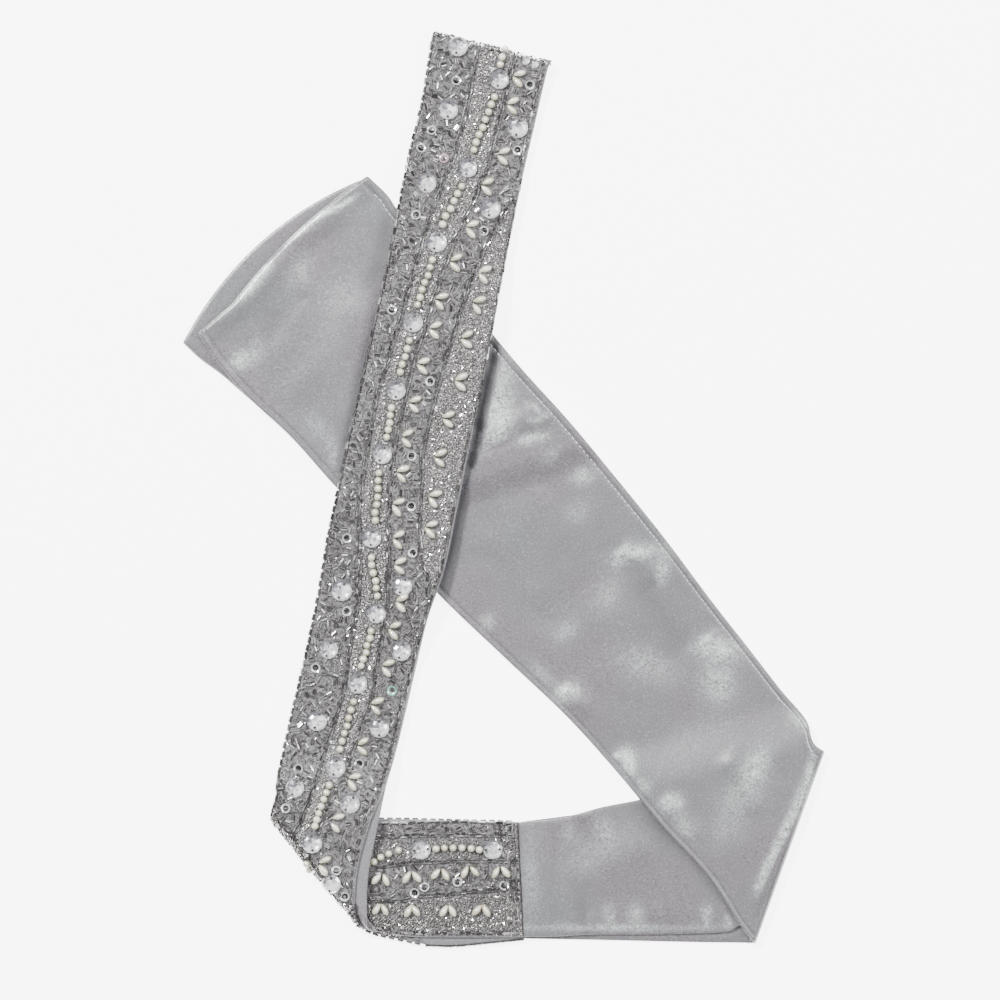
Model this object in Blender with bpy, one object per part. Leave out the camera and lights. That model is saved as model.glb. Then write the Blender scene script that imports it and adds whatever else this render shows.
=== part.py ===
"""A bridal sash lying folded on a table: a beaded band with a satin tail at each end.

The sash is folded in half at the top of the beaded band, so every stretch is double. Both
halves roll under at the lower left, run to the right, fold over at the lower right and
run back under the band to the upper left. Lengths are millimetres until a vertex is made.
"""
import math

import bmesh
import bpy
from mathutils import Vector
from mathutils.geometry import delaunay_2d_cdt

MM = 0.001
CENTRE_X = 0.3
CENTRE_Y = 0.3

BAND_WALL = 2.6
SATIN_WALL = 1.2
SEAM_GAP = 0.3
LAYER_STEP = BAND_WALL + SEAM_GAP
SATIN_STEP = SATIN_WALL + SEAM_GAP

BAND_SPACING = 7.0
SATIN_SPACING = 9.0
ROLL_SPACING = 1.5
BAND_COLUMNS = 8
SATIN_COLUMNS = 10

# Heights of the stacks that lie on each other
CROSSING_HEIGHT = 6.1
CORNER_HEIGHT = 7.0
CORNER_MIDDLE = CORNER_HEIGHT - 0.75
FOLDED_TAIL_TOP = 4.2
OVER_STRIP_HEIGHT = 3.3


def smooth_step(value):
    """Rise from 0 to 1 with level ends."""
    value = min(max(value, 0.0), 1.0)
    return value * value * (3.0 - 2.0 * value)


def lying(height):
    """A height that is the same everywhere."""
    return lambda x, y: height


class Line:
    """A line in plan, given by its outward heading and its distance along it."""

    def __init__(self, heading, offset, bulge=0.0, middle=0.0, half=1.0):
        length = math.hypot(*heading)
        self.nx, self.ny = heading[0] / length, heading[1] / length
        self.offset = offset
        self.bulge, self.middle, self.half = bulge, middle, half

    def along(self, x, y):
        return -self.ny * x + self.nx * y

    def edge(self, along):
        share = (along - self.middle) / self.half
        return self.offset + self.bulge * max(0.0, 1.0 - share * share)

    def beyond(self, x, y):
        return self.nx * x + self.ny * y - self.edge(self.along(x, y))

    def point(self, along, out):
        return (self.nx * out - self.ny * along, self.ny * out + self.nx * along)


class Fold(Line):
    """A roll of cloth: its axis is the line, the cloth's inner face has the inner radius."""

    def __init__(self, heading, silhouette, inner, wall, middle_height, **bow):
        super().__init__(heading, silhouette - inner - wall, **bow)
        self.inner = inner
        self.middle_height = middle_height
        self.arc = math.pi * (inner + wall / 2.0)

    def unroll(self, x, y):
        """The plan point that a turned-under point has before it is rolled."""
        along = self.along(x, y)
        inward = -self.beyond(x, y)
        return self.point(along, self.edge(along) + self.arc + inward)


# Edges of the stretches that others climb over
DIAGONAL_UPPER_EDGE = Line((0.798, 0.602), 37.0)
DIAGONAL_LOWER_EDGE = Line((-0.723, -0.691), 51.5)
STRIP_UPPER_EDGE = Line((-0.272, 0.962), -144.4)
TAIL_END = Line((-0.316, 0.949), 14.8)

TOP_FOLD = Fold((0.2505, 0.969), 183.4, 0.8, BAND_WALL, 3.4)
CORNER_OUTER = Fold((-0.775, -0.634), 167.85, 3.65, BAND_WALL, CORNER_MIDDLE)
CORNER_INNER = Fold((-0.775, -0.634), 164.95, 0.75, BAND_WALL, CORNER_MIDDLE)
SIDE_OUTER = Fold((0.941, -0.339), 168.3, 1.8, SATIN_WALL, 3.0)
SIDE_INNER = Fold((0.941, -0.339), 166.8, 0.3, SATIN_WALL, 3.0)
TAIL_FOLD = Fold((-0.647, 0.7627), 135.8, 0.45, SATIN_WALL, 4.65,
                 bulge=6.0, middle=-15.0, half=52.0)

# Each row is a line across the cloth: its left end, its right end, and the fold it lies beyond
ROW = ("left_x", "left_y", "right_x", "right_y", "beyond")

BAND_FRONT = [
    (-31.3, 190.0, 18.7, 177.1, TOP_FOLD),
    (-31.1, 188.6, 18.4, 175.8, None),
    (-34.8, 167.1, 14.2, 157.6, None),
    (-40.9, 141.3, 8.2, 131.4, None),
    (-48.6, 100.8, 0.0, 90.1, None),
    (-58.7, 54.8, -9.0, 42.4, None),
    (-64.5, 29.0, -14.2, 17.0, None),
    (-70.7, 0.2, -20.0, -11.8, None),
    (-75.7, -22.1, -24.9, -35.0, None),
    (-80.0, -47.9, -32.0, -55.7, None),
    (-85.6, -73.7, -39.1, -83.2, None),
    (-91.6, -99.5, -44.5, -108.1, None),
    (-96.3, -121.5, -50.0, -127.5, None),
    (-97.0, -127.8, -57.0, -144.0, None),
    (-97.2, -132.2, -62.8, -168.3, None),
    (-88.2, -143.2, -33.5, -196.1, CORNER_OUTER),
]
BAND_UNDER = [
    (-31.0, 189.4, 18.2, 176.7, None),
    (-34.4, 167.0, 13.8, 157.6, None),
    (-40.5, 141.2, 7.8, 131.4, None),
    (-48.2, 100.7, -0.4, 90.2, None),
    (-58.3, 54.7, -9.4, 42.5, None),
    (-70.3, 0.1, -20.4, -11.7, None),
    (-79.6, -48.0, -32.0, -55.7, None),
    (-91.2, -99.6, -44.3, -108.1, None),
    (-95.8, -121.5, -49.6, -127.0, None),
    (-96.4, -128.0, -53.6, -146.0, None),
    (-96.2, -132.5, -57.7, -168.0, None),
    (-91.7, -143.0, -52.7, -190.7, CORNER_INNER),
]
BAND_RETURN = [
    (-91.3, -143.1, -52.3, -190.9, None),
    (-72.0, -143.4, -40.0, -192.6, None),
    (-48.0, -143.2, -28.0, -193.0, None),
    (-22.8, -142.6, -10.0, -193.0, None),
    (6.2, -143.2, 8.6, -192.8, None),
]
BAND_LOW = [
    (-87.9, -143.2, -33.2, -196.1, None),
    (-52.9, -141.9, -20.6, -196.3, None),
    (-22.8, -142.5, -5.6, -194.9, None),
    (6.2, -143.2, 8.6, -193.5, None),
]
TAIL_B_STRIP = [
    (6.5, -143.4, 8.9, -192.4, SIDE_INNER),
    (24.5, -141.7, 22.8, -192.4, SIDE_INNER),
    (41.7, -137.0, 39.6, -191.6, SIDE_INNER),
    (58.9, -133.5, 59.3, -191.6, SIDE_INNER),
    (84.7, -126.6, 79.1, -191.3, SIDE_INNER),
    (110.5, -120.2, 96.8, -190.3, SIDE_INNER),
    (127.8, -114.8, 102.9, -187.7, SIDE_INNER),
    (130.0, -112.6, 104.2, -184.8, None),
]
TAIL_A_STRIP = [
    (6.5, -143.4, 8.9, -193.5, None),
    (41.7, -138.2, 41.7, -194.1, None),
    (84.7, -127.1, 80.4, -195.0, None),
    (134.4, -112.3, 104.5, -195.3, None),
]
TAIL_A_DIAGONAL = [
    (104.9, -195.4, 134.8, -112.1, SIDE_OUTER),
    (104.4, -191.0, 134.0, -110.0, None),
    (88.8, -167.5, 130.3, -99.5, None),
    (69.1, -146.0, 119.5, -86.6, None),
    (51.2, -124.5, 106.2, -69.4, None),
    (28.8, -99.5, 89.4, -47.9, None),
    (1.7, -73.7, 70.1, -22.1, None),
    (-25.4, -47.9, 49.4, 3.7, None),
    (-46.4, -25.6, 27.9, 29.5, None),
    (-71.8, 0.6, 4.7, 55.3, None),
    (-91.6, 22.6, -18.5, 84.5, None),
    (-111.4, 41.1, -36.1, 108.6, None),
    (-124.3, 56.5, -46.0, 120.6, None),
    (-128.0, 62.0, -50.5, 127.0, None),
    (-121.0, 58.0, -47.5, 117.0, TAIL_FOLD),
]
TAIL_B_UNDER = [
    (101.8, -182.0, 127.6, -110.5, None),
    (88.6, -165.5, 128.6, -100.5, None),
    (69.9, -145.6, 118.7, -87.0, None),
    (52.0, -124.0, 105.4, -69.9, None),
    (29.5, -99.0, 88.7, -48.4, None),
    (2.4, -73.2, 69.4, -22.6, None),
    (-24.6, -47.2, 48.7, 3.2, None),
    (-64.3, -6.0, 27.2, 25.0, None),
]


class Ribbon:
    """Cloth between two edges, smooth through its rows and rolled at its folds."""

    def __init__(self, rows, wall, height, folds=(), turned_lift=None):
        self.wall, self.height, self.folds = wall, height, folds
        self.turned_lift = turned_lift or lying(0.0)
        flat = []
        for values in rows:
            row = dict(zip(ROW, values))
            left = (row["left_x"], row["left_y"])
            right = (row["right_x"], row["right_y"])
            if row["beyond"]:
                left = row["beyond"].unroll(*left)
                right = row["beyond"].unroll(*right)
            flat.append(left + right)
        self.flat = flat
        self.knots = [0.0]
        for first, second in zip(flat, flat[1:]):
            step = math.hypot(second[0] + second[2] - first[0] - first[2],
                              second[1] + second[3] - first[1] - first[3]) / 2.0
            self.knots.append(self.knots[-1] + step)
        self.length = self.knots[-1]
        self.width = sum(math.hypot(r[2] - r[0], r[3] - r[1]) for r in flat) / len(flat)

    def slope(self, index, column):
        before, after = max(index - 1, 0), min(index + 1, len(self.flat) - 1)
        rise = self.flat[after][column] - self.flat[before][column]
        return rise / (self.knots[after] - self.knots[before])

    def ends(self, u):
        """Both edge points at the distance u along the cloth, before it is rolled."""
        index = 0
        while index < len(self.knots) - 2 and u > self.knots[index + 1]:
            index += 1
        span = self.knots[index + 1] - self.knots[index]
        t = (u - self.knots[index]) / span
        values = []
        for column in range(4):
            start, end = self.flat[index][column], self.flat[index + 1][column]
            leave = self.slope(index, column) * span
            arrive = self.slope(index + 1, column) * span
            values.append((2 * t ** 3 - 3 * t ** 2 + 1) * start + (t ** 3 - 2 * t ** 2 + t) * leave
                          + (3 * t ** 2 - 2 * t ** 3) * end + (t ** 3 - t ** 2) * arrive)
        return values

    def plan(self, u, v):
        left_x, left_y, right_x, right_y = self.ends(u)
        x = left_x + (right_x - left_x) * v
        y = left_y + (right_y - left_y) * v
        return x, y

    def point(self, u, v, out=0.0):
        """The point at u along and v across, a distance out from the cloth's inner face."""
        x, y = self.plan(u, v)
        for fold in self.folds:
            past = fold.beyond(x, y)
            if past <= 0.0:
                continue
            along = fold.along(x, y)
            axis = fold.edge(along)
            radius = fold.inner + out
            if past < fold.arc:
                turn = math.pi * past / fold.arc
                x, y = fold.point(along, axis + radius * math.sin(turn))
                return x, y, fold.middle_height + radius * math.cos(turn)
            x, y = fold.point(along, axis - (past - fold.arc))
            return x, y, fold.middle_height - radius + self.turned_lift(x, y)
        return x, y, self.height(x, y) + out

    def stations(self, spacing):
        """Distances along the cloth, close together where it rolls."""
        places, u = [0.0], 0.0
        while u < self.length - 0.2:
            step = spacing
            for v in (0.0, 0.5, 1.0):
                x, y = self.plan(u, v)
                for fold in self.folds:
                    if -spacing < fold.beyond(x, y) < fold.arc + 0.5:
                        step = min(ROLL_SPACING, fold.arc / 5.0)
            u = min(u + step, self.length)
            places.append(u)
        if places[-1] - places[-2] < 0.4:
            del places[-2]
        return places


def add_object(name, bm, material, collection):
    """One closed body with its faces pointing out, shaded smooth between its edges."""
    bmesh.ops.recalc_face_normals(bm, faces=bm.faces[:])
    if bm.calc_volume(signed=True) < 0.0:
        bmesh.ops.reverse_faces(bm, faces=bm.faces[:])
    mesh = bpy.data.meshes.new(name)
    bm.to_mesh(mesh)
    bm.free()
    mesh.shade_smooth()
    mesh.set_sharp_from_angle(angle=math.radians(35.0))
    mesh.materials.append(material)
    part = bpy.data.objects.new(name, mesh)
    collection.objects.link(part)
    return part


def vertex(bm, point):
    return bm.verts.new(((point[0] - CENTRE_X) * MM, (point[1] - CENTRE_Y) * MM, point[2] * MM))


def bead_rings(bead):
    """A bead as rings of (along, across, height) round its own centre."""
    angle = math.radians(bead["turn"])
    rings = []
    for length, width, height, count in bead["kind"]:
        ring = []
        for index in range(count):
            step = 2.0 * math.pi * (index + 0.5) / count
            along, across = length * math.cos(step), width * math.sin(step)
            ring.append((bead["u"] + along * math.cos(angle) - across * math.sin(angle),
                         bead["v"] + along * math.sin(angle) + across * math.cos(angle), height))
        rings.append(ring)
    return rings


def outer_face_with_beads(ribbon, bm, places, columns, beads):
    """The outer face: the cloth's own grid, with each bead's rings let in and raised."""
    width = ribbon.width
    points, heights, edges = [], [], []
    for bead in beads:
        for ring in bead_rings(bead):
            first = len(points)
            for index, (u, v, height) in enumerate(ring):
                points.append((u, v))
                heights.append(height)
                edges.append((first + index, first + (index + 1) % len(ring)))
    last_row, last_column = len(places) - 1, columns
    for row, u in enumerate(places):
        for column in range(columns + 1):
            v = width * column / columns
            on_rim = row in (0, last_row) or column in (0, last_column)
            near = any(math.hypot(bead["u"] - u, bead["v"] - v) < bead["kind"][0][0] + 1.2
                       for bead in beads)
            if on_rim or not near:
                points.append((u, v))
                heights.append(0.0)
    flat = [Vector(point) for point in points]
    made = delaunay_2d_cdt(flat, edges, [], 0, 1e-4)
    verts = []
    for place, sources in zip(made[0], made[3]):
        height = heights[sources[0]] if sources else 0.0
        verts.append(vertex(bm, ribbon.point(place.x, place.y / width, ribbon.wall + height)))
    for face in made[2]:
        bm.faces.new([verts[index] for index in face])
    rim = {}
    for vert, place in zip(verts, made[0]):
        rim[round(place.x, 3), round(place.y / width * columns, 3)] = vert
    return rim


def ribbon_solid(name, ribbon, spacing, columns, material, collection, beads=()):
    """The wall of one stretch: a plain inner face, an outer face and the edges between."""
    bm = bmesh.new()
    places = ribbon.stations(spacing)
    inner = {}
    for row, u in enumerate(places):
        for column in range(columns + 1):
            inner[row, column] = vertex(bm, ribbon.point(u, column / columns))
    outer = {}
    if beads:
        rim = outer_face_with_beads(ribbon, bm, places, columns, beads)
        for row, u in enumerate(places):
            for column in range(columns + 1):
                outer[row, column] = rim.get((round(u, 3), round(float(column), 3)))
    else:
        for row, u in enumerate(places):
            for column in range(columns + 1):
                outer[row, column] = vertex(bm, ribbon.point(u, column / columns, ribbon.wall))
    last = len(places) - 1
    for row in range(last):
        for column in range(columns):
            corners = [(row, column), (row + 1, column), (row + 1, column + 1), (row, column + 1)]
            bm.faces.new([inner[corner] for corner in corners])
            if not beads:
                bm.faces.new([outer[corner] for corner in reversed(corners)])
    rim_path = [(row, 0) for row in range(last)] + [(last, column) for column in range(columns)]
    rim_path += [(row, columns) for row in range(last, 0, -1)]
    rim_path += [(0, column) for column in range(columns, 0, -1)]
    for first, second in zip(rim_path, rim_path[1:] + rim_path[:1]):
        bm.faces.new([inner[second], inner[first], outer[first], outer[second]])
    bmesh.ops.triangulate(bm, faces=[face for face in bm.faces if len(face.verts) > 3])
    return add_object(name, bm, material, collection)


def over_satin(x, y):
    """Share of the full crossing height that the band has above the diagonal satin."""
    over = 1.0 - smooth_step((DIAGONAL_UPPER_EDGE.beyond(x, y) - 1.0) / 26.0)
    return over * (1.0 - smooth_step((DIAGONAL_LOWER_EDGE.beyond(x, y) - 1.0) / 30.0))


def over_corner(y):
    """Share of the corner's height, reached where the short stretch begins."""
    return smooth_step((-108.0 - y) / 33.0)


def band_base(x, y):
    """Height of the folded band's underside: up over the satin, down, and up at the corner."""
    return CROSSING_HEIGHT * over_satin(x, y) + CORNER_HEIGHT * over_corner(y)


def band_front_height(x, y):
    """The upper half lies on the lower one, a little looser at the top fold and on slopes."""
    at_fold = 1.0 - smooth_step(-TOP_FOLD.beyond(x, y) / 30.0)
    over, corner = over_satin(x, y), over_corner(y)
    slope = 4.0 * max(over * (1.0 - over), corner * (1.0 - corner))
    return band_base(x, y) + LAYER_STEP + 1.3 * at_fold + 0.35 * slope


def strip_lift(x, y):
    """The upper satin leaves the beaded end one band up and settles on the lower satin."""
    return (LAYER_STEP - SATIN_STEP) * (1.0 - smooth_step((x - 8.0) / 26.0))


def turned_tail_height(x, y):
    """The satin folded over the strip comes down to the table beyond the strip's edge."""
    down = smooth_step((STRIP_UPPER_EDGE.beyond(x, y) - 1.0) / 24.0)
    return OVER_STRIP_HEIGHT * (1.0 - down)


def diagonal_height(x, y):
    """Underside of the top satin: over the strip, the table, then the folded tail's end."""
    folded = smooth_step((TAIL_END.beyond(x, y) + 18.0) / 12.0)
    loose = 1.0 - smooth_step(-TAIL_FOLD.beyond(x, y) / 9.0)
    stack = (FOLDED_TAIL_TOP + SEAM_GAP) * folded + SATIN_STEP * (1.0 - folded)
    return max(turned_tail_height(x, y) + SATIN_STEP, stack) + 0.6 * loose


# A bead's rings, from the cloth up: half length, half width, height, corners
RHINESTONE = ((4.3, 4.3, 0.0, 10), (3.1, 3.1, 2.1, 10))
ROUND_PEARL = ((1.75, 1.75, 0.0, 6), (1.0, 1.0, 1.8, 3))
RICE_PEARL = ((3.15, 1.5, 0.0, 6), (2.1, 0.7, 1.9, 4))
PEARL_PITCH = 3.8
PEARL_CLEARANCE = 6.6
PAIR_SPREAD = 2.3
PAIR_LEAN = 27.0
PAIR_CLEARANCE = 8.9

# Where the large beads lie: distance along the band, share of its width
PLACE = ("u", "share")
STRING_STONES = [(21.0, 0.62), (61.1, 0.52), (95.2, 0.38), (131.2, 0.32), (161.3, 0.30),
                 (189.3, 0.30), (225.4, 0.36), (256.5, 0.54), (287.5, 0.52), (324.6, 0.50),
                 (359.6, 0.46)]
LONE_STONES = [(10.0, 0.22), (38.1, 0.24), (71.1, 0.20), (249.4, 0.20), (275.5, 0.20),
               (306.5, 0.24), (337.6, 0.18), (40.1, 0.86), (76.1, 0.78), (242.4, 0.70),
               (270.5, 0.84), (304.5, 0.80), (337.6, 0.74), (365.6, 0.72)]
PAIRS = [(31.0, 0.78), (53.0, 0.80), (67.0, 0.72), (86.0, 0.66), (102.0, 0.58),
         (119.0, 0.52), (132.0, 0.52), (148.0, 0.48), (165.0, 0.48), (180.0, 0.48),
         (195.0, 0.50), (209.0, 0.52), (223.0, 0.58), (234.0, 0.64), (250.0, 0.74),
         (262.0, 0.74), (278.0, 0.76), (295.0, 0.74), (314.0, 0.70), (329.0, 0.70),
         (345.0, 0.68), (104.0, 0.84), (117.0, 0.84), (133.0, 0.80), (151.0, 0.82),
         (168.0, 0.78), (185.0, 0.78), (202.0, 0.80), (215.0, 0.82)]
SHORT_STONES = [(41.1, 0.24), (69.2, 0.24)]
SHORT_PEARLS = [(24.6, 0.30), (28.2, 0.26), (32.0, 0.24), (48.0, 0.23), (51.6, 0.23),
                (55.2, 0.23), (58.8, 0.23), (62.4, 0.23)]
SHORT_PAIRS = [(20.0, 0.50), (33.0, 0.48), (46.0, 0.46), (58.0, 0.44), (71.0, 0.44),
               (10.0, 0.77), (26.0, 0.77), (44.0, 0.77), (60.0, 0.77)]


def bead(kind, u, v, turn=0.0):
    return {"kind": kind, "u": u, "v": v, "turn": turn}


def beads_at(kind, table, width):
    """One bead for each row of a table of places."""
    places = [dict(zip(PLACE, values)) for values in table]
    return [bead(kind, place["u"], place["share"] * width) for place in places]


def on_top(ribbon, placed):
    """Whether a bead lies where it faces up, clear of the cloth's rim."""
    x, y = ribbon.plan(placed["u"], placed["v"] / ribbon.width)
    facing_up = all(fold.beyond(x, y) < 0.3 * fold.arc for fold in ribbon.folds)
    reach = placed["kind"][0][0] + 0.6
    inside = reach < placed["v"] < ribbon.width - reach
    return facing_up and inside and 1.0 + reach < placed["u"] < ribbon.length - reach


def string_of_pearls(stones):
    """Round pearls in a row from each stone to the next."""
    pearls = []
    for first, second in zip(stones, stones[1:]):
        span = second["u"] - first["u"] - 2.0 * PEARL_CLEARANCE
        count = int(span / PEARL_PITCH) + 1
        for index in range(count):
            u = first["u"] + PEARL_CLEARANCE + span * (index + 0.5) / count
            t = (u - first["u"]) / (second["u"] - first["u"])
            pearls.append(bead(ROUND_PEARL, u, first["v"] + (second["v"] - first["v"]) * t))
    return pearls


def pairs_at(table, width, stones):
    """Two rice pearls at each place, meeting in a point on the band's left side.

    A pair that a stone would touch is moved along the band, away from the stone.
    """
    pearls, middles = [], []
    for middle in beads_at(RICE_PEARL, table, width):
        for stone in stones:
            aside = abs(stone["v"] - middle["v"])
            if math.hypot(middle["u"] - stone["u"], aside) < PAIR_CLEARANCE:
                away = math.sqrt(PAIR_CLEARANCE ** 2 - aside ** 2)
                middle["u"] = stone["u"] + math.copysign(away, middle["u"] - stone["u"])
        near = [math.hypot(other["u"] - middle["u"], other["v"] - middle["v"]) for other in middles]
        near += [math.hypot(stone["u"] - middle["u"], stone["v"] - middle["v"]) + 0.1
                 for stone in stones]
        if min(near, default=PAIR_CLEARANCE) < PAIR_CLEARANCE:
            continue
        middles.append(middle)
        for side in (-1, 1):
            pearls.append(bead(RICE_PEARL, middle["u"] + side * PAIR_SPREAD, middle["v"],
                               90.0 - side * PAIR_LEAN))
    return pearls


def long_band_beads(ribbon):
    """Stones, pearl strings and pairs of the long stretch."""
    string = beads_at(RHINESTONE, STRING_STONES, ribbon.width)
    stones = string + beads_at(RHINESTONE, LONE_STONES, ribbon.width)
    placed = stones + string_of_pearls(string) + pairs_at(PAIRS, ribbon.width, stones)
    return [one for one in placed if on_top(ribbon, one)]


def short_band_beads(ribbon):
    """Stones, pearls and pairs of the short stretch, where the upper layers leave it free."""
    stones = beads_at(RHINESTONE, SHORT_STONES, ribbon.width)
    placed = stones + beads_at(ROUND_PEARL, SHORT_PEARLS, ribbon.width)
    placed += pairs_at(SHORT_PAIRS, ribbon.width, stones)
    return [one for one in placed if on_top(ribbon, one)]


# Rows of the hidden layers; the bow is how far the row's middle runs ahead of its ends
LAYER_ROW = ("left_x", "left_y", "right_x", "right_y", "bow")
TAIL_LAYERS = [
    (-64.6, -5.6, 27.0, 25.4, 0.0),
    (-71.4, 1.2, 4.2, 54.8, 0.0),
    (-91.2, 23.0, -19.0, 84.0, 0.0),
    (-111.8, 40.8, -36.6, 108.0, 0.0),
    (-121.2, 49.0, -46.6, 119.6, 3.0),
    (-130.5, 55.9, -54.0, 127.4, 7.5),
    (-137.6, 62.6, -61.1, 132.7, 9.4),
]
LAYER_EDGE = ("inset", "height", "lift")
LAYER_EDGES = [
    (0.5, 0.0, 0.0),
    (0.0, 0.35, 0.0),
    (0.0, 0.85, 0.0),
    (0.8, 1.35, 0.0),
    (0.0, 1.85, 0.0),
    (0.0, 2.35, 0.0),
    (0.7, 2.6, 0.1),
    (0.1, 2.63, 0.5),
    (0.1, 2.66, 1.0),
    (0.6, 2.7, 1.5),
]


def layer_stack(name, material, collection):
    """The hidden layers as one solid of sections, grooved at its edges between the layers."""
    rows = [dict(zip(LAYER_ROW, values)) for values in TAIL_LAYERS]
    plan = Ribbon([values[:4] + (None,) for values in TAIL_LAYERS], 0.0, lying(0.0))
    edges = [dict(zip(LAYER_EDGE, values)) for values in LAYER_EDGES]
    columns = SATIN_COLUMNS
    bm = bmesh.new()
    sections = []
    for u in plan.stations(SATIN_SPACING):
        index = 0
        while index < len(rows) - 2 and u > plan.knots[index + 1]:
            index += 1
        t = (u - plan.knots[index]) / (plan.knots[index + 1] - plan.knots[index])
        bow = rows[index]["bow"] + (rows[index + 1]["bow"] - rows[index]["bow"]) * t
        left_x, left_y, right_x, right_y = plan.ends(u)
        width = math.hypot(right_x - left_x, right_y - left_y)
        ahead = (-(right_y - left_y) / width, (right_x - left_x) / width)

        def place(across, height):
            share = across / width
            lead = bow * 4.0 * share * (1.0 - share)
            x = left_x + (right_x - left_x) * share + ahead[0] * lead
            y = left_y + (right_y - left_y) * share + ahead[1] * lead
            third = smooth_step((-TAIL_FOLD.beyond(x, y) - 16.5) / 10.0)
            return x, y, height["height"] + height["lift"] * max(third, 0.03)

        loop = [place(edge["inset"], edge) for edge in edges]
        top, bottom = edges[-1], edges[0]
        loop += [place(width * column / columns, top) for column in range(1, columns)]
        loop += [place(width - edge["inset"], edge) for edge in reversed(edges)]
        loop += [place(width * column / columns, bottom) for column in range(columns - 1, 0, -1)]
        sections.append([vertex(bm, point) for point in loop])
    count = len(sections[0])
    for first, second in zip(sections, sections[1:]):
        for index in range(count):
            after = (index + 1) % count
            bm.faces.new([first[index], first[after], second[after], second[index]])
    bm.faces.new(sections[0])
    bm.faces.new(sections[-1])
    bmesh.ops.triangulate(bm, faces=bm.faces[:])
    return add_object(name, bm, material, collection)


def make_material(name, colour, roughness, metallic):
    material = bpy.data.materials.new(name)
    material.use_nodes = True
    shader = material.node_tree.nodes["Principled BSDF"]
    shader.inputs["Base Color"].default_value = colour + (1.0,)
    shader.inputs["Roughness"].default_value = roughness
    shader.inputs["Metallic"].default_value = metallic
    return material


def main():
    for old in list(bpy.data.objects):
        bpy.data.objects.remove(old, do_unlink=True)
    sash = bpy.data.collections.new("beaded_sash")
    bpy.context.scene.collection.children.link(sash)
    satin = make_material("satin", (0.37, 0.36, 0.38), 0.38, 0.1)
    lining = make_material("satin_inside", (0.42, 0.41, 0.43), 0.45, 0.05)
    beading = make_material("beading", (0.33, 0.32, 0.33), 0.3, 0.5)

    front = Ribbon(BAND_FRONT, BAND_WALL, band_front_height, (TOP_FOLD, CORNER_OUTER))
    under = Ribbon(BAND_UNDER, BAND_WALL, band_base, (CORNER_INNER,))
    short = Ribbon(BAND_RETURN, BAND_WALL, lying(LAYER_STEP))
    low = Ribbon(BAND_LOW, BAND_WALL, lying(0.0))
    ribbon_solid("band_front", front, BAND_SPACING, BAND_COLUMNS, beading, sash,
                 long_band_beads(front))
    ribbon_solid("band_under", under, BAND_SPACING, BAND_COLUMNS, beading, sash)
    ribbon_solid("band_return", short, BAND_SPACING, BAND_COLUMNS, beading, sash,
                 short_band_beads(short))
    ribbon_solid("band_low", low, BAND_SPACING, BAND_COLUMNS, lining, sash)

    tail_b = Ribbon(TAIL_B_STRIP, SATIN_WALL, lying(OVER_STRIP_HEIGHT), (SIDE_INNER,), strip_lift)
    tail_a = Ribbon(TAIL_A_STRIP, SATIN_WALL, lying(0.0))
    diagonal = Ribbon(TAIL_A_DIAGONAL, SATIN_WALL, diagonal_height, (SIDE_OUTER, TAIL_FOLD))
    turned = Ribbon(TAIL_B_UNDER, SATIN_WALL, turned_tail_height)
    for name, ribbon in (("tail_b_strip", tail_b), ("tail_a_strip", tail_a),
                         ("tail_a_diagonal", diagonal), ("tail_b_diagonal", turned)):
        ribbon_solid(name, ribbon, SATIN_SPACING, SATIN_COLUMNS, satin, sash)
    layer_stack("tail_layers", satin, sash)


if __name__ == "__main__":
    main()
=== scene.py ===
import math
import random

import bmesh
import bpy
from mathutils import Matrix, Vector, noise


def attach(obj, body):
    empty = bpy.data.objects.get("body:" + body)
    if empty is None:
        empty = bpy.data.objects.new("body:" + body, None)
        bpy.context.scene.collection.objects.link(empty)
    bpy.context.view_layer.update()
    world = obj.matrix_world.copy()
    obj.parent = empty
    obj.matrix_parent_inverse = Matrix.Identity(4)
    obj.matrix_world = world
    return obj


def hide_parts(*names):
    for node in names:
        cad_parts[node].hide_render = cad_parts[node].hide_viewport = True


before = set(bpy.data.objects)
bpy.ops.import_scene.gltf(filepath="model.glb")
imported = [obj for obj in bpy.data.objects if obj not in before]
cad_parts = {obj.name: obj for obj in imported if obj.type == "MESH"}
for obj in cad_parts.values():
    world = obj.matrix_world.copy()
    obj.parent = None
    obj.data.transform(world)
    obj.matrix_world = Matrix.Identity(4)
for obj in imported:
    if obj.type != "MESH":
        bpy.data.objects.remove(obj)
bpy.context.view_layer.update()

mm = 0.001
tableCentre = (0.3, 0.3)
chance = random.Random(7)
bpy.ops.object.select_all(action="DESELECT")


def smoothStep(value):
    value = min(max(value, 0.0), 1.0)
    return value * value * (3.0 - 2.0 * value)


def toWorld(x, y, z):
    return Vector(((x - tableCentre[0]) * mm, (y - tableCentre[1]) * mm, z * mm))


# How the cloth lies: lines, rolled folds and the stretches between them
class Line:
    def __init__(self, heading, offset, bulge=0.0, middle=0.0, half=1.0):
        length = math.hypot(*heading)
        self.nx, self.ny = heading[0] / length, heading[1] / length
        self.offset, self.bulge, self.middle, self.half = offset, bulge, middle, half

    def along(self, x, y):
        return -self.ny * x + self.nx * y

    def edge(self, along):
        share = (along - self.middle) / self.half
        return self.offset + self.bulge * max(0.0, 1.0 - share * share)

    def beyond(self, x, y):
        return self.nx * x + self.ny * y - self.edge(self.along(x, y))

    def point(self, along, out):
        return (self.nx * out - self.ny * along, self.ny * out + self.nx * along)


class Fold(Line):
    def __init__(self, heading, silhouette, inner, wall, middleHeight, **bow):
        super().__init__(heading, silhouette - inner - wall, **bow)
        self.inner, self.middleHeight = inner, middleHeight
        self.arc = math.pi * (inner + wall / 2.0)

    def unroll(self, x, y):
        along = self.along(x, y)
        return self.point(along, self.edge(along) + self.arc - self.beyond(x, y))


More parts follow.
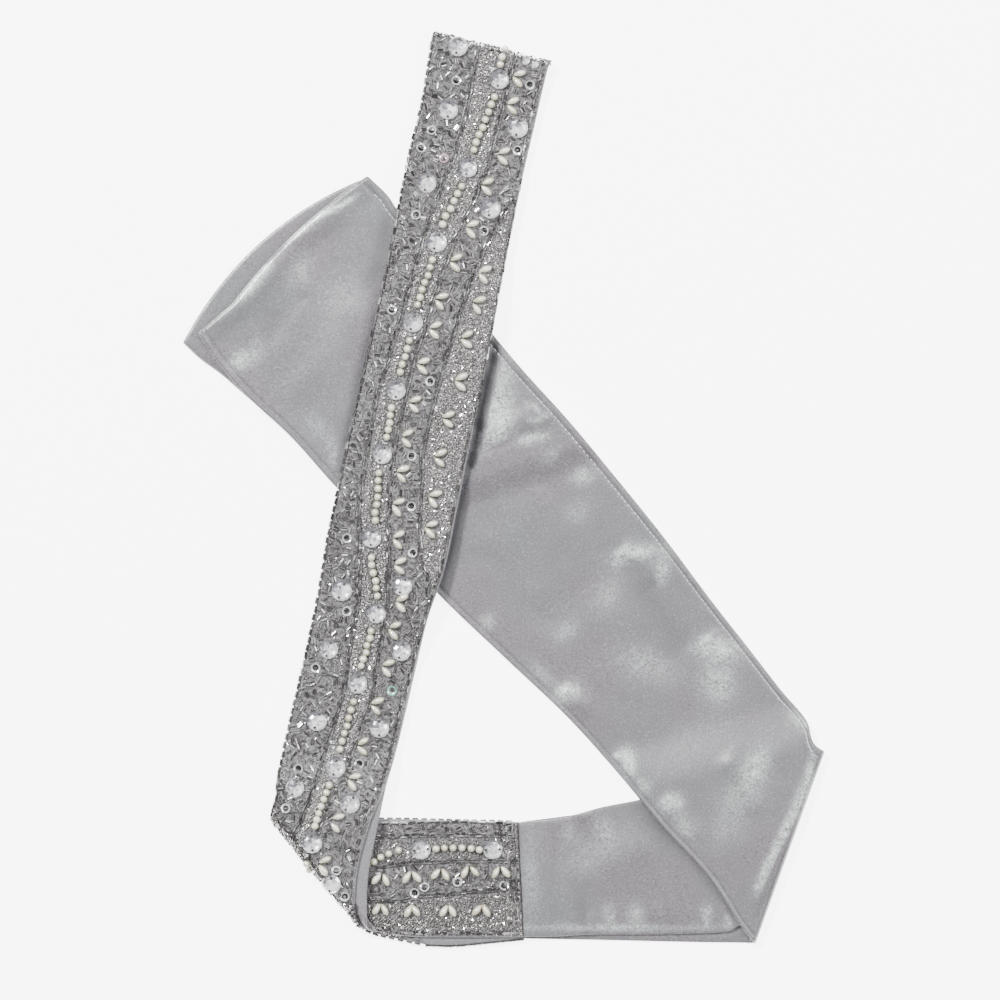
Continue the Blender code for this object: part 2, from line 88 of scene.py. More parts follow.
lay = {
    "bandWall": 2.6,
    "satinWall": 1.2,
    "layerStep": 2.9,
    "satinStep": 1.5,
    "crossingHeight": 6.1,
    "cornerHeight": 7.0,
    "foldedTailTop": 4.2,
    "overStripHeight": 3.3,
    "gap": 0.3,
}
# where the cloth climbs over what lies beneath, and how far it takes to do so
slopes = {
    "start": 1.0,
    "upperEdge": 26.0, "lowerEdge": 30.0, "overStrip": 24.0,
    "cornerStart": 108.0, "corner": 33.0,
    "topFold": 30.0, "topFoldLift": 1.3, "steepLift": 0.35,
    "seam": 8.0, "afterSeam": 26.0,
    "beforeTailEnd": 18.0, "tailEnd": 12.0,
    "tailFold": 9.0, "tailFoldLift": 0.6,
}
diagonalUpperEdge = Line((0.798, 0.602), 37.0)
diagonalLowerEdge = Line((-0.723, -0.691), 51.5)
stripUpperEdge = Line((-0.272, 0.962), -144.4)
tailEnd = Line((-0.316, 0.949), 14.8)
topFold = Fold((0.2505, 0.969), 183.4, 0.8, lay["bandWall"], 3.4)
cornerOuter = Fold((-0.775, -0.634), 167.85, 3.65, lay["bandWall"], 6.25)
cornerInner = Fold((-0.775, -0.634), 164.95, 0.75, lay["bandWall"], 6.25)
sideOuter = Fold((0.941, -0.339), 168.3, 1.8, lay["satinWall"], 3.0)
sideInner = Fold((0.941, -0.339), 166.8, 0.3, lay["satinWall"], 3.0)
tailFold = Fold((-0.647, 0.7627), 135.8, 0.45, lay["satinWall"], 4.65,
                bulge=6.0, middle=-15.0, half=52.0)

# Rows across each stretch: left end, right end, and the fold that the row lies beyond
rowColumns = ("leftX", "leftY", "rightX", "rightY", "beyond")
bandFrontRows = [
    (-31.3, 190.0, 18.7, 177.1, topFold),
    (-31.1, 188.6, 18.4, 175.8, None),
    (-34.8, 167.1, 14.2, 157.6, None),
    (-40.9, 141.3, 8.2, 131.4, None),
    (-48.6, 100.8, 0.0, 90.1, None),
    (-58.7, 54.8, -9.0, 42.4, None),
    (-64.5, 29.0, -14.2, 17.0, None),
    (-70.7, 0.2, -20.0, -11.8, None),
    (-75.7, -22.1, -24.9, -35.0, None),
    (-80.0, -47.9, -32.0, -55.7, None),
    (-85.6, -73.7, -39.1, -83.2, None),
    (-91.6, -99.5, -44.5, -108.1, None),
    (-96.3, -121.5, -50.0, -127.5, None),
    (-97.0, -127.8, -57.0, -144.0, None),
    (-97.2, -132.2, -62.8, -168.3, None),
    (-88.2, -143.2, -33.5, -196.1, cornerOuter),
]
bandUnderRows = [
    (-31.0, 189.4, 18.2, 176.7, None),
    (-34.4, 167.0, 13.8, 157.6, None),
    (-40.5, 141.2, 7.8, 131.4, None),
    (-48.2, 100.7, -0.4, 90.2, None),
    (-58.3, 54.7, -9.4, 42.5, None),
    (-70.3, 0.1, -20.4, -11.7, None),
    (-79.6, -48.0, -32.0, -55.7, None),
    (-91.2, -99.6, -44.3, -108.1, None),
    (-95.8, -121.5, -49.6, -127.0, None),
    (-96.4, -128.0, -53.6, -146.0, None),
    (-96.2, -132.5, -57.7, -168.0, None),
    (-91.7, -143.0, -52.7, -190.7, cornerInner),
]
bandReturnRows = [
    (-91.3, -143.1, -52.3, -190.9, None),
    (-72.0, -143.4, -40.0, -192.6, None),
    (-48.0, -143.2, -28.0, -193.0, None),
    (-22.8, -142.6, -10.0, -193.0, None),
    (6.2, -143.2, 8.6, -192.8, None),
]
bandLowRows = [
    (-87.9, -143.2, -33.2, -196.1, None),
    (-52.9, -141.9, -20.6, -196.3, None),
    (-22.8, -142.5, -5.6, -194.9, None),
    (6.2, -143.2, 8.6, -193.5, None),
]
tailBStripRows = [
    (6.5, -143.4, 8.9, -192.4, sideInner),
    (24.5, -141.7, 22.8, -192.4, sideInner),
    (41.7, -137.0, 39.6, -191.6, sideInner),
    (58.9, -133.5, 59.3, -191.6, sideInner),
    (84.7, -126.6, 79.1, -191.3, sideInner),
    (110.5, -120.2, 96.8, -190.3, sideInner),
    (127.8, -114.8, 102.9, -187.7, sideInner),
    (130.0, -112.6, 104.2, -184.8, None),
]
tailAStripRows = [
    (6.5, -143.4, 8.9, -193.5, None),
    (41.7, -138.2, 41.7, -194.1, None),
    (84.7, -127.1, 80.4, -195.0, None),
    (134.4, -112.3, 104.5, -195.3, None),
]
tailADiagonalRows = [
    (104.9, -195.4, 134.8, -112.1, sideOuter),
    (104.4, -191.0, 134.0, -110.0, None),
    (88.8, -167.5, 130.3, -99.5, None),
    (69.1, -146.0, 119.5, -86.6, None),
    (51.2, -124.5, 106.2, -69.4, None),
    (28.8, -99.5, 89.4, -47.9, None),
    (1.7, -73.7, 70.1, -22.1, None),
    (-25.4, -47.9, 49.4, 3.7, None),
    (-46.4, -25.6, 27.9, 29.5, None),
    (-71.8, 0.6, 4.7, 55.3, None),
    (-91.6, 22.6, -18.5, 84.5, None),
    (-111.4, 41.1, -36.1, 108.6, None),
    (-124.3, 56.5, -46.0, 120.6, None),
    (-128.0, 62.0, -50.5, 127.0, None),
    (-121.0, 58.0, -47.5, 117.0, tailFold),
]
tailBDiagonalRows = [
    (101.8, -182.0, 127.6, -110.5, None),
    (88.6, -165.5, 128.6, -100.5, None),
    (69.9, -145.6, 118.7, -87.0, None),
    (52.0, -124.0, 105.4, -69.9, None),
    (29.5, -99.0, 88.7, -48.4, None),
    (2.4, -73.2, 69.4, -22.6, None),
    (-24.6, -47.2, 48.7, 3.2, None),
    (-64.3, -6.0, 27.2, 25.0, None),
]
tailLayerRows = [
    (-64.6, -5.6, 27.0, 25.4, None),
    (-71.4, 1.2, 4.2, 54.8, None),
    (-91.2, 23.0, -19.0, 84.0, None),
    (-111.8, 40.8, -36.6, 108.0, None),
    (-121.2, 49.0, -46.6, 119.6, None),
    (-130.5, 55.9, -54.0, 127.4, None),
    (-137.6, 62.6, -61.1, 132.7, None),
]


class Stretch:
    def __init__(self, rows, height, folds=(), turnedLift=None, bows=()):
        self.height, self.folds, self.bows = height, folds, bows
        self.turnedLift = turnedLift or (lambda x, y: 0.0)
        self.flat = []
        for values in rows:
            row = dict(zip(rowColumns, values))
            left, right = (row["leftX"], row["leftY"]), (row["rightX"], row["rightY"])
            if row["beyond"]:
                left, right = row["beyond"].unroll(*left), row["beyond"].unroll(*right)
            self.flat.append(left + right)
        self.knots = [0.0]
        for first, second in zip(self.flat, self.flat[1:]):
            step = math.hypot(second[0] + second[2] - first[0] - first[2],
                              second[1] + second[3] - first[1] - first[3]) / 2.0
            self.knots.append(self.knots[-1] + step)
        self.length = self.knots[-1]
        widths = [math.hypot(row[2] - row[0], row[3] - row[1]) for row in self.flat]
        self.width = sum(widths) / len(widths)

    def slope(self, index, column):
        before, after = max(index - 1, 0), min(index + 1, len(self.flat) - 1)
        rise = self.flat[after][column] - self.flat[before][column]
        return rise / (self.knots[after] - self.knots[before])

    def ends(self, u):
        index = 0
        while index < len(self.knots) - 2 and u > self.knots[index + 1]:
            index += 1
        span = self.knots[index + 1] - self.knots[index]
        t = (u - self.knots[index]) / span
        values = []
        for column in range(4):
            start, end = self.flat[index][column], self.flat[index + 1][column]
            leave = self.slope(index, column) * span
            arrive = self.slope(index + 1, column) * span
            values.append((2 * t ** 3 - 3 * t ** 2 + 1) * start + (t ** 3 - 2 * t ** 2 + t) * leave
                          + (3 * t ** 2 - 2 * t ** 3) * end + (t ** 3 - t ** 2) * arrive)
        return values

    def bow(self, u):
        for before, after, start, end in zip(self.knots, self.knots[1:], self.bows, self.bows[1:]):
            if u <= after:
                return start + (end - start) * max(u - before, 0.0) / (after - before)
        return self.bows[-1] if self.bows else 0.0

    def plan(self, u, v):
        leftX, leftY, rightX, rightY = self.ends(u)
        width = math.hypot(rightX - leftX, rightY - leftY)
        lead = self.bow(u) * 4.0 * v * (1.0 - v) / width
        x = leftX + (rightX - leftX) * v - (rightY - leftY) * lead
        y = leftY + (rightY - leftY) * v + (rightX - leftX) * lead
        return x, y

    def point(self, u, v, out=0.0):
        x, y = self.plan(u, v)
        for fold in self.folds:
            past = fold.beyond(x, y)
            if past <= 0.0:
                continue
            along = fold.along(x, y)
            axis = fold.edge(along)
            radius = fold.inner + out
            if past < fold.arc:
                turn = math.pi * past / fold.arc
                x, y = fold.point(along, axis + radius * math.sin(turn))
                return x, y, fold.middleHeight + radius * math.cos(turn)
            x, y = fold.point(along, axis - (past - fold.arc))
            return x, y, fold.middleHeight - radius + self.turnedLift(x, y)
        return x, y, self.height(x, y) + out

    def world(self, u, v, out=0.0):
        return toWorld(*self.point(u, v, out))

    def axes(self, u, v, out):
        # place, and the directions along, across and out of the cloth
        here = self.world(u, v, out)
        along = self.world(u + 0.4, v, out) - self.world(u - 0.4, v, out)
        across = self.world(u, v + 0.008, out) - self.world(u, v - 0.008, out)
        along.normalize()
        outward = (self.world(u, v, out + 0.5) - here).normalized()
        side = outward.cross(along).normalized()
        if side.dot(across) < 0.0:
            side.negate()
        ahead = outward.cross(side).normalized()
        if ahead.dot(along) < 0.0:
            ahead.negate()
        return here, ahead, side, outward

    def facing(self, u, v):
        # 1 where the outer face looks up, 0 in a roll, -1 where a fold has turned it under
        x, y = self.plan(u, v)
        turned = max([fold.beyond(x, y) / fold.arc for fold in self.folds] or [0.0])
        return 1.0 - smoothStep((turned - 0.1) / 0.4) - smoothStep((turned - 1.0) / 0.4)

    def stations(self, grain):
        places, u = [0.0], 0.0
        while u < self.length - 0.3:
            step = grain
            for v in (0.0, 0.5, 1.0):
                x, y = self.plan(u, v)
                for fold in self.folds:
                    if -grain < fold.beyond(x, y) < fold.arc + 0.5:
                        step = min(step, fold.arc / 9.0)
            u = min(u + step, self.length)
            places.append(u)
        if places[-1] - places[-2] < 0.4:
            del places[-2]
        return places


def overSatin(x, y):
    upper = (diagonalUpperEdge.beyond(x, y) - slopes["start"]) / slopes["upperEdge"]
    lower = (diagonalLowerEdge.beyond(x, y) - slopes["start"]) / slopes["lowerEdge"]
    return (1.0 - smoothStep(upper)) * (1.0 - smoothStep(lower))


def overCorner(y):
    return smoothStep((-slopes["cornerStart"] - y) / slopes["corner"])


def bandBase(x, y):
    return lay["crossingHeight"] * overSatin(x, y) + lay["cornerHeight"] * overCorner(y)


def bandFrontHeight(x, y):
    atFold = 1.0 - smoothStep(-topFold.beyond(x, y) / slopes["topFold"])
    over, corner = overSatin(x, y), overCorner(y)
    steep = 4.0 * max(over * (1.0 - over), corner * (1.0 - corner))
    return (bandBase(x, y) + lay["layerStep"] + slopes["topFoldLift"] * atFold
            + slopes["steepLift"] * steep)


def stripLift(x, y):
    past = (x - slopes["seam"]) / slopes["afterSeam"]
    return (lay["layerStep"] - lay["satinStep"]) * (1.0 - smoothStep(past))


def turnedTailHeight(x, y):
    past = (stripUpperEdge.beyond(x, y) - slopes["start"]) / slopes["overStrip"]
    return lay["overStripHeight"] * (1.0 - smoothStep(past))


def diagonalHeight(x, y):
    folded = smoothStep((tailEnd.beyond(x, y) + slopes["beforeTailEnd"]) / slopes["tailEnd"])
    loose = 1.0 - smoothStep(-tailFold.beyond(x, y) / slopes["tailFold"])
    stack = (lay["foldedTailTop"] + lay["gap"]) * folded + lay["satinStep"] * (1.0 - folded)
    return (max(turnedTailHeight(x, y) + lay["satinStep"], stack)
            + slopes["tailFoldLift"] * loose)


bandFront = Stretch(bandFrontRows, bandFrontHeight, (topFold, cornerOuter))
bandUnder = Stretch(bandUnderRows, bandBase, (cornerInner,))
bandReturn = Stretch(bandReturnRows, lambda x, y: lay["layerStep"])
bandLow = Stretch(bandLowRows, lambda x, y: 0.0)
tailBStrip = Stretch(tailBStripRows, lambda x, y: lay["overStripHeight"], (sideInner,), stripLift)
tailAStrip = Stretch(tailAStripRows, lambda x, y: 0.0)
tailADiagonal = Stretch(tailADiagonalRows, diagonalHeight, (sideOuter, tailFold))
tailBDiagonal = Stretch(tailBDiagonalRows, turnedTailHeight)
tailLayer = Stretch(tailLayerRows, lambda x, y: 0.0, bows=(0.0, 0.0, 0.0, 0.0, 3.0, 7.5, 9.4))
print("stretches laid out, band", round(bandFront.length), "x", round(bandFront.width, 1), "mm")


# Node sockets that add, multiply and so on by plain Python expressions
class Value:
    def __init__(self, look, port):
        self.look, self.port = look, port

    def math(self, operation, other=0.0, swapped=False):
        pair = (other, self) if swapped else (self, other)
        return self.look.node("ShaderNodeMath", {"operation": operation}, {0: pair[0], 1: pair[1]})

    def __add__(self, other):
        return self.math("ADD", other)

    def __sub__(self, other):
        return self.math("SUBTRACT", other)

    def __mul__(self, other):
        return self.math("MULTIPLY", other)

    def __pow__(self, other):
        return self.math("POWER", other)

    def __gt__(self, other):
        return self.math("GREATER_THAN", other)

    def __rsub__(self, other):
        return self.math("SUBTRACT", other, True)

    __radd__ = __add__
    __rmul__ = __mul__


class Nodes:
    def __init__(self, tree):
        self.tree = tree

    def node(self, kind, settings, sockets, output=0):
        made = self.tree.nodes.new(kind)
        for name, value in settings.items():
            setattr(made, name, value)
        for name, value in sockets.items():
            if isinstance(value, Value):
                self.tree.links.new(value.port, made.inputs[name])
            else:
                made.inputs[name].default_value = value
        return Value(self, made.outputs[output])

    def place(self, space="Object"):
        return self.node("ShaderNodeTexCoord", {}, {}, space)

    def along(self):
        return self.node("ShaderNodeUVMap", {"uv_map": "cloth"}, {}, "UV")

    def noise(self, where, scale, detail=2.0, roughness=0.5):
        sockets = {"Vector": where, "Scale": scale, "Detail": detail, "Roughness": roughness}
        return self.node("ShaderNodeTexNoise", {}, sockets)

    def mix(self, share, first, second):
        settings = {"data_type": "RGBA", "clamp_factor": True}
        colours = [value if isinstance(value, Value) else tuple(value) + (1.0,)
                   for value in (first, second)]
        return self.node("ShaderNodeMix", settings, {0: share, 6: colours[0], 7: colours[1]}, 2)

    def attribute(self, name):
        return self.node("ShaderNodeAttribute", {"attribute_name": name}, {}, "Fac")

    def bump(self, height, distance):
        sockets = {"Height": height, "Distance": distance, "Strength": 1.0}
        return self.node("ShaderNodeBump", {}, sockets, "Normal")


class Look(Nodes):
    def __init__(self, name, **constants):
        self.material = bpy.data.materials.new(name)
        self.material.use_nodes = True
        super().__init__(self.material.node_tree)
        self.surface = self.tree.nodes["Principled BSDF"]
        for socket, value in constants.items():
            self.surface.inputs[socket.replace("_", " ")].default_value = value

    def feed(self, **links):
        for socket, value in links.items():
            self.tree.links.new(value.port, self.surface.inputs[socket.replace("_", " ")])
        return self.material


# satin colours: its grey and two tints; the light colour serves lighter grains and painted
# highlights, the dim colour darker grains and painted shade, the deep colour painted shadow
satin = {
    "grey": (0.157, 0.151, 0.163),
    "bright": (0.66, 0.72, 0.70),
    "darkSpeckAndShade": (0.082, 0.079, 0.086),
    "paintedDeepShadow": (0.020, 0.019, 0.022),
    "tintPink": (0.174, 0.152, 0.167),
    "tintGreen": (0.147, 0.161, 0.157),
}


def makeSatin(name, grey, metallic):
    look = Look(name, Metallic=metallic, Sheen_Weight=0.10, Sheen_Roughness=0.35,
                Specular_IOR_Level=0.5)
    place, along = look.place(), look.along()
    tint = look.noise(place, 21.0, 1.0)
    glitter = look.noise(place, 1150.0, 3.0, 0.75)
    dapple = look.noise(place, 420.0, 3.0, 0.65)
    spots = look.node("ShaderNodeTexVoronoi", {}, {"Vector": along, "Scale": 1500.0}, "Color")
    threads = look.node("ShaderNodeTexWave", {"bands_direction": "DIAGONAL"},
                        {"Vector": along, "Scale": 620.0, "Distortion": 1.5, "Detail": 1.0})
    sparkle = look.node("ShaderNodeSeparateColor", {}, {"Color": spots}, "Red") > 0.78
    colour = look.mix((tint - 0.42) * 3.0, satin["tintPink"], satin["tintGreen"])
    colour = look.mix(0.45, colour, grey)
    colour = look.mix((glitter - 0.53) * 1.3, colour, satin["bright"])
    colour = look.mix((0.47 - glitter) * 1.5, colour, satin["darkSpeckAndShade"])
    # the attribute holds painted light: above nought a painted highlight, with grain and sparkle in
    # it
    paintedLight = look.attribute("paintedLight")
    shine = paintedLight * (0.10 + (glitter - 0.42) * 3.4 + (dapple - 0.40) * 1.8 + sparkle * 0.14)
    colour = look.mix(shine, colour, satin["bright"])
    # below nought the attribute is painted shade, and further below painted shadow
    colour = look.mix(paintedLight * -0.8, colour, satin["darkSpeckAndShade"])
    colour = look.mix(paintedLight * -0.9 - 0.8, colour, satin["paintedDeepShadow"])
    roughness = 0.40 - sparkle * 0.12 + (tint - 0.5) * 0.1
    height = threads * 0.2 + glitter * 0.8 + sparkle * 0.4
    return look.feed(Base_Color=colour, Roughness=roughness, Normal=look.bump(height, 0.00006))


satinFace = makeSatin("satinFace", satin["grey"], 0.35)
satinLining = makeSatin("satinLining", (0.235, 0.228, 0.242), 0.2)


def makeBacking():
    # the lilac grey cloth that carries the beads, with its fine loops of thread
    look = Look("beadedCloth", Metallic=0.15, Sheen_Weight=0.2, Specular_IOR_Level=0.4)
    along = look.along()
    fine = look.noise(along, 1300.0, 2.0, 0.6)
    broad = look.noise(along, 180.0, 2.0)
    loops = look.node("ShaderNodeTexVoronoi", {"feature": "DISTANCE_TO_EDGE"},
                      {"Vector": along, "Scale": 380.0})
    colour = look.mix((broad - 0.4) * 2.5, (0.069, 0.064, 0.067), (0.127, 0.119, 0.126))
    colour = look.mix((0.09 - loops) * 8.0, colour, (0.27, 0.26, 0.265))
    colour = look.mix((fine - 0.52) * 3.0, colour, (0.32, 0.31, 0.315))
    colour = look.mix((0.44 - fine) * 4.0, colour, (0.045, 0.042, 0.045))
    height = fine * 0.6 + (0.12 - loops) * 2.0
    return look.feed(Base_Color=colour, Roughness=0.55 - fine * 0.15,
                     Normal=look.bump(height, 0.00018))


beadedCloth = makeBacking()


def makeGlass(name, dark, light, roughness, metallic=0.85):
    # each bead has its own shade, from gunmetal to silver
    look = Look(name, Metallic=metallic, IOR=1.6, Coat_Weight=0.6, Coat_Roughness=0.06)
    shade = look.attribute("shade")
    ripple = look.noise(look.place(), 2600.0, 1.0)
    colour = look.mix(shade, dark, light)
    colour = look.mix((ripple - 0.5) * 0.9, colour, light)
    return look.feed(Base_Color=colour, Roughness=roughness + ripple * 0.16)


seedGlass = makeGlass("seedGlass", (0.125, 0.117, 0.112), (0.78, 0.765, 0.745), 0.12)
bugleGlass = makeGlass("bugleGlass", (0.075, 0.070, 0.068), (0.70, 0.69, 0.675), 0.10)


def makePearl():
    look = Look("ivoryPearl", Metallic=0.0, Coat_Weight=1.0, Coat_Roughness=0.12, Coat_IOR=2.0,
                Specular_IOR_Level=0.8)
    shade, place = look.attribute("shade"), look.place()
    bloom = look.noise(place, 420.0, 2.0)
    colour = look.mix(shade, (0.56, 0.53, 0.37), (0.78, 0.76, 0.60))
    colour = look.mix((bloom - 0.55) * 2.0, colour, (0.84, 0.78, 0.68))
    # painted shade on the sides, and a painted highlight: a soft bright spot near the top
    facing = look.place("Normal")
    upForPaintedShade = look.node("ShaderNodeSeparateXYZ", {}, {"Vector": facing}, "Z")
    towards = look.node("ShaderNodeVectorMath", {"operation": "DOT_PRODUCT"},
                        {0: facing, 1: (0.12, 0.18, 0.976)}, "Value")
    colour = look.mix(0.95 - upForPaintedShade * 1.2, colour, (0.27, 0.235, 0.125))
    colour = look.mix((towards - 0.90) * 11.0, colour, (0.98, 0.975, 0.92))
    return look.feed(Base_Color=colour, Roughness=0.20 + bloom * 0.12)


ivoryPearl = makePearl()


def makeStone():
    # foil shows through: each facet has its own painted light and shade, from lilac grey to white,
    # with a random part
    look = Look("clearStone", Metallic=0.2, Coat_Weight=0.5, Coat_Roughness=0.03, IOR=1.6)
    clouds = look.noise(look.place(), 500.0, 1.0)
    shade = look.attribute("shade") + (clouds - 0.5) * 0.5
    colour = look.mix(shade, (0.13, 0.128, 0.148), (0.96, 0.96, 0.98))
    return look.feed(Base_Color=colour, Roughness=0.06 + clouds * 0.12)


clearStone = makeStone()


def makeHole():
    # the thread holes are painted shade: dark discs with a faint mottle
    look = Look("stoneHole", Metallic=0.2)
    holeShadeMottle = look.noise(look.place(), 2500.0, 1.0)
    return look.feed(Base_Color=look.mix(holeShadeMottle, (0.012, 0.012, 0.013), (0.05, 0.048, 0.05)),
                     Roughness=0.4 + holeShadeMottle * 0.2)


stoneHole = makeHole()
cupFoil = makeGlass("cupFoil", (0.04, 0.038, 0.04), (0.20, 0.19, 0.20), 0.25)


def makeSequin(name, colour, edge):
    look = Look(name, Metallic=0.35, Coat_Weight=0.9, Coat_Roughness=0.05)
    shine = look.noise(look.place(), 700.0, 1.0)
    return look.feed(Base_Color=look.mix(shine * 1.2, colour, edge), Roughness=0.12 + shine * 0.1)


sequinClear = makeSequin("sequinClear", (0.60, 0.59, 0.60), (0.90, 0.89, 0.90))
sequinPink = makeSequin("sequinPink", (0.62, 0.33, 0.40), (0.85, 0.62, 0.68))
sequinGreen = makeSequin("sequinGreen", (0.05, 0.45, 0.27), (0.45, 0.90, 0.70))


def makeThread():
    look = Look("satinThread", Metallic=0.1, Sheen_Weight=0.3)
    twist = look.noise(look.place(), 1800.0, 1.0)
    return look.feed(Base_Color=look.mix(twist, (0.42, 0.42, 0.43), (0.86, 0.87, 0.88)),
                     Roughness=0.4 + twist * 0.2)


satinThread = makeThread()
print("materials made")


# Cloth: a thin shell with rounded rims, along a stretch and between two heights of its wall
rimShares = (0.0, 0.12, 0.45)


def steps(length, grain, rim, hem):
    # places across the cloth: close together round its rims and over its hems
    near = [share * rim for share in rimShares] + [rim]
    while rim < hem:
        rim += 0.55
        near.append(rim)
    count = max(2, round((length - 2.0 * rim) / grain))
    middle = [rim + (length - 2.0 * rim) * index / count for index in range(1, count)]
    return near + middle + [length - distance for distance in reversed(near)]


def layCloth(name, stretch, low, high, material, grain=2.0, inset=0.0, relief=None, paintedLight=None,
             trim=None, extend=0.0, hem=0.0, reliefUnder=False):
    rim = 0.6 * (high - low)
    length = stretch.length + extend
    along = [u for u in stretch.stations(grain) if rim <= u <= length - rim]
    along = [share * rim for share in rimShares] + along
    along += [length - rim * share for share in reversed(rimShares)]
    across = steps(stretch.width - 2.0 * inset, grain, rim, hem)
    rows, columns = len(along), len(across)
    middle, half = (low + high) / 2.0, (high - low) / 2.0
    tops, bottoms, paintedLights, uvs = [], [], [], []
    for u in along:
        for v in across:
            edge = min(u, length - u, v, stretch.width - 2.0 * inset - v)
            fullness = math.sqrt(max(0.0, 1.0 - (1.0 - min(edge / rim, 1.0)) ** 2))
            share = (v + inset) / stretch.width
            raised, sunk = 0.0, 0.0
            if relief:
                x, y = stretch.point(u, share, high)[:2]
                lift = relief(x, y, u, v, stretch.width - v) * fullness
                facing = stretch.facing(u, share)
                if facing > 0.0:
                    raised = lift * facing
                    sunk = max(0.0, raised) * 0.8
                elif reliefUnder:
                    sunk = lift * facing
            tops.append(stretch.world(u, share, middle + half * fullness + raised))
            bottoms.append(stretch.world(u, share, middle - half * fullness + sunk))
            x, y = stretch.point(u, share, middle)[:2]
            # painted light and shade at each point of the cloth
            paintedLights.append(paintedLight(x, y) if paintedLight else 0.0)
            uvs.append((u * mm, v * mm))
    inner = {}
    verts = list(tops)
    for row in range(rows):
        for column in range(columns):
            place = row * columns + column
            if 0 < row < rows - 1 and 0 < column < columns - 1:
                inner[row, column] = len(verts)
                verts.append(bottoms[place])
                paintedLights.append(paintedLights[place])
                uvs.append(uvs[place])
            else:
                inner[row, column] = place
    faces = []
    for row in range(rows - 1):
        for column in range(columns - 1):
            corners = [(row, column), (row + 1, column), (row + 1, column + 1), (row, column + 1)]
            faces.append([r * columns + c for r, c in corners])
            faces.append([inner[corner] for corner in reversed(corners)])
    mesh = bpy.data.meshes.new(name)
    mesh.from_pydata(verts, [], faces)
    layer = mesh.uv_layers.new(name="cloth")
    for loop in mesh.loops:
        layer.data[loop.index].uv = uvs[loop.vertex_index]
    # the painted light and shade, read by the satin's material
    shine = mesh.attributes.new("paintedLight", "FLOAT", "POINT")
    shine.data.foreach_set("value", paintedLights)
    pointOut(mesh)
    mesh.shade_smooth()
    mesh.materials.append(material)
    if trim:
        mesh.materials.append(trim["material"])
        for face in mesh.polygons:
            place = [uvs[corner] for corner in face.vertices]
            trimWidth = trim["width"](place[0][0] / mm)
            far = min(v for u, v in place) > (stretch.width - 2.0 * inset - trimWidth) * mm
            face.material_index = 1 if far else 0
    cloth = bpy.data.objects.new(name, mesh)
    bpy.context.collection.objects.link(cloth)
    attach(cloth, "root")
    return cloth


def pointOut(mesh):
    shell = bmesh.new()
    shell.from_mesh(mesh)
    bmesh.ops.recalc_face_normals(shell, faces=shell.faces[:])
    if shell.calc_volume(signed=True) < 0.0:
        bmesh.ops.reverse_faces(shell, faces=shell.faces[:])
    shell.to_mesh(mesh)
    shell.free()


# Creases and swells of the satin: a path, how high it stands, how wide and how sharp
def pathDistance(path, x, y):
    # how far off the path is, how far along it the nearest place lies, and on which side
    nearest, share, side = math.inf, 0.0, 1.0
    lengths = [math.hypot(b[0] - a[0], b[1] - a[1]) for a, b in zip(path, path[1:])]
    run, whole = 0.0, sum(lengths)
    for (a, b), length in zip(zip(path, path[1:]), lengths):
        dx, dy = (b[0] - a[0]) / length, (b[1] - a[1]) / length
        t = min(max((x - a[0]) * dx + (y - a[1]) * dy, 0.0), length)
        away = math.hypot(x - a[0] - dx * t, y - a[1] - dy * t)
        if away < nearest:
            nearest, share = away, (run + t) / whole
            side = math.copysign(1.0, dx * (y - a[1]) - dy * (x - a[0]))
        run += length
    return nearest, share, side


def creaseHeight(crease, x, y):
    away, share, side = pathDistance(crease["path"], x, y)
    reach = crease["width"] * (crease.get("leftWidth", 1.0) if side > 0 else 1.0)
    if away > 3.0 * reach:
        return 0.0
    endShare = 0.18
    taper = min(1.0, share / endShare, (1.0 - share) / endShare)
    taper = max(taper, crease.get("ends", 0.0))
    fall = math.exp(-(away / reach) ** crease.get("sharp", 2))
    return crease["height"] * smoothStep(taper) * fall


def swell(x, y, seed, size, height):
    return height * noise.noise(Vector((x / size, y / size, seed)))


pucker = {"fine": 4.2, "broad": 11.0, "broadShare": 0.6, "reach": 5.0, "hidden": 0.12}


def edgePucker(u, near, seed, height=0.22):
    reach = pucker["reach"]
    if near > 3.0 * reach:
        return 0.0
    ripple = noise.noise(Vector((u / pucker["fine"], seed, 0.0)))
    ripple += pucker["broadShare"] * noise.noise(Vector((u / pucker["broad"], seed, 5.0)))
    return height * ripple * math.exp(-(near / reach) ** 2)


def table(columns, rows):
    # rows of values as dictionaries; a row may leave out its last columns
    return [dict(zip(columns, values)) for values in rows]


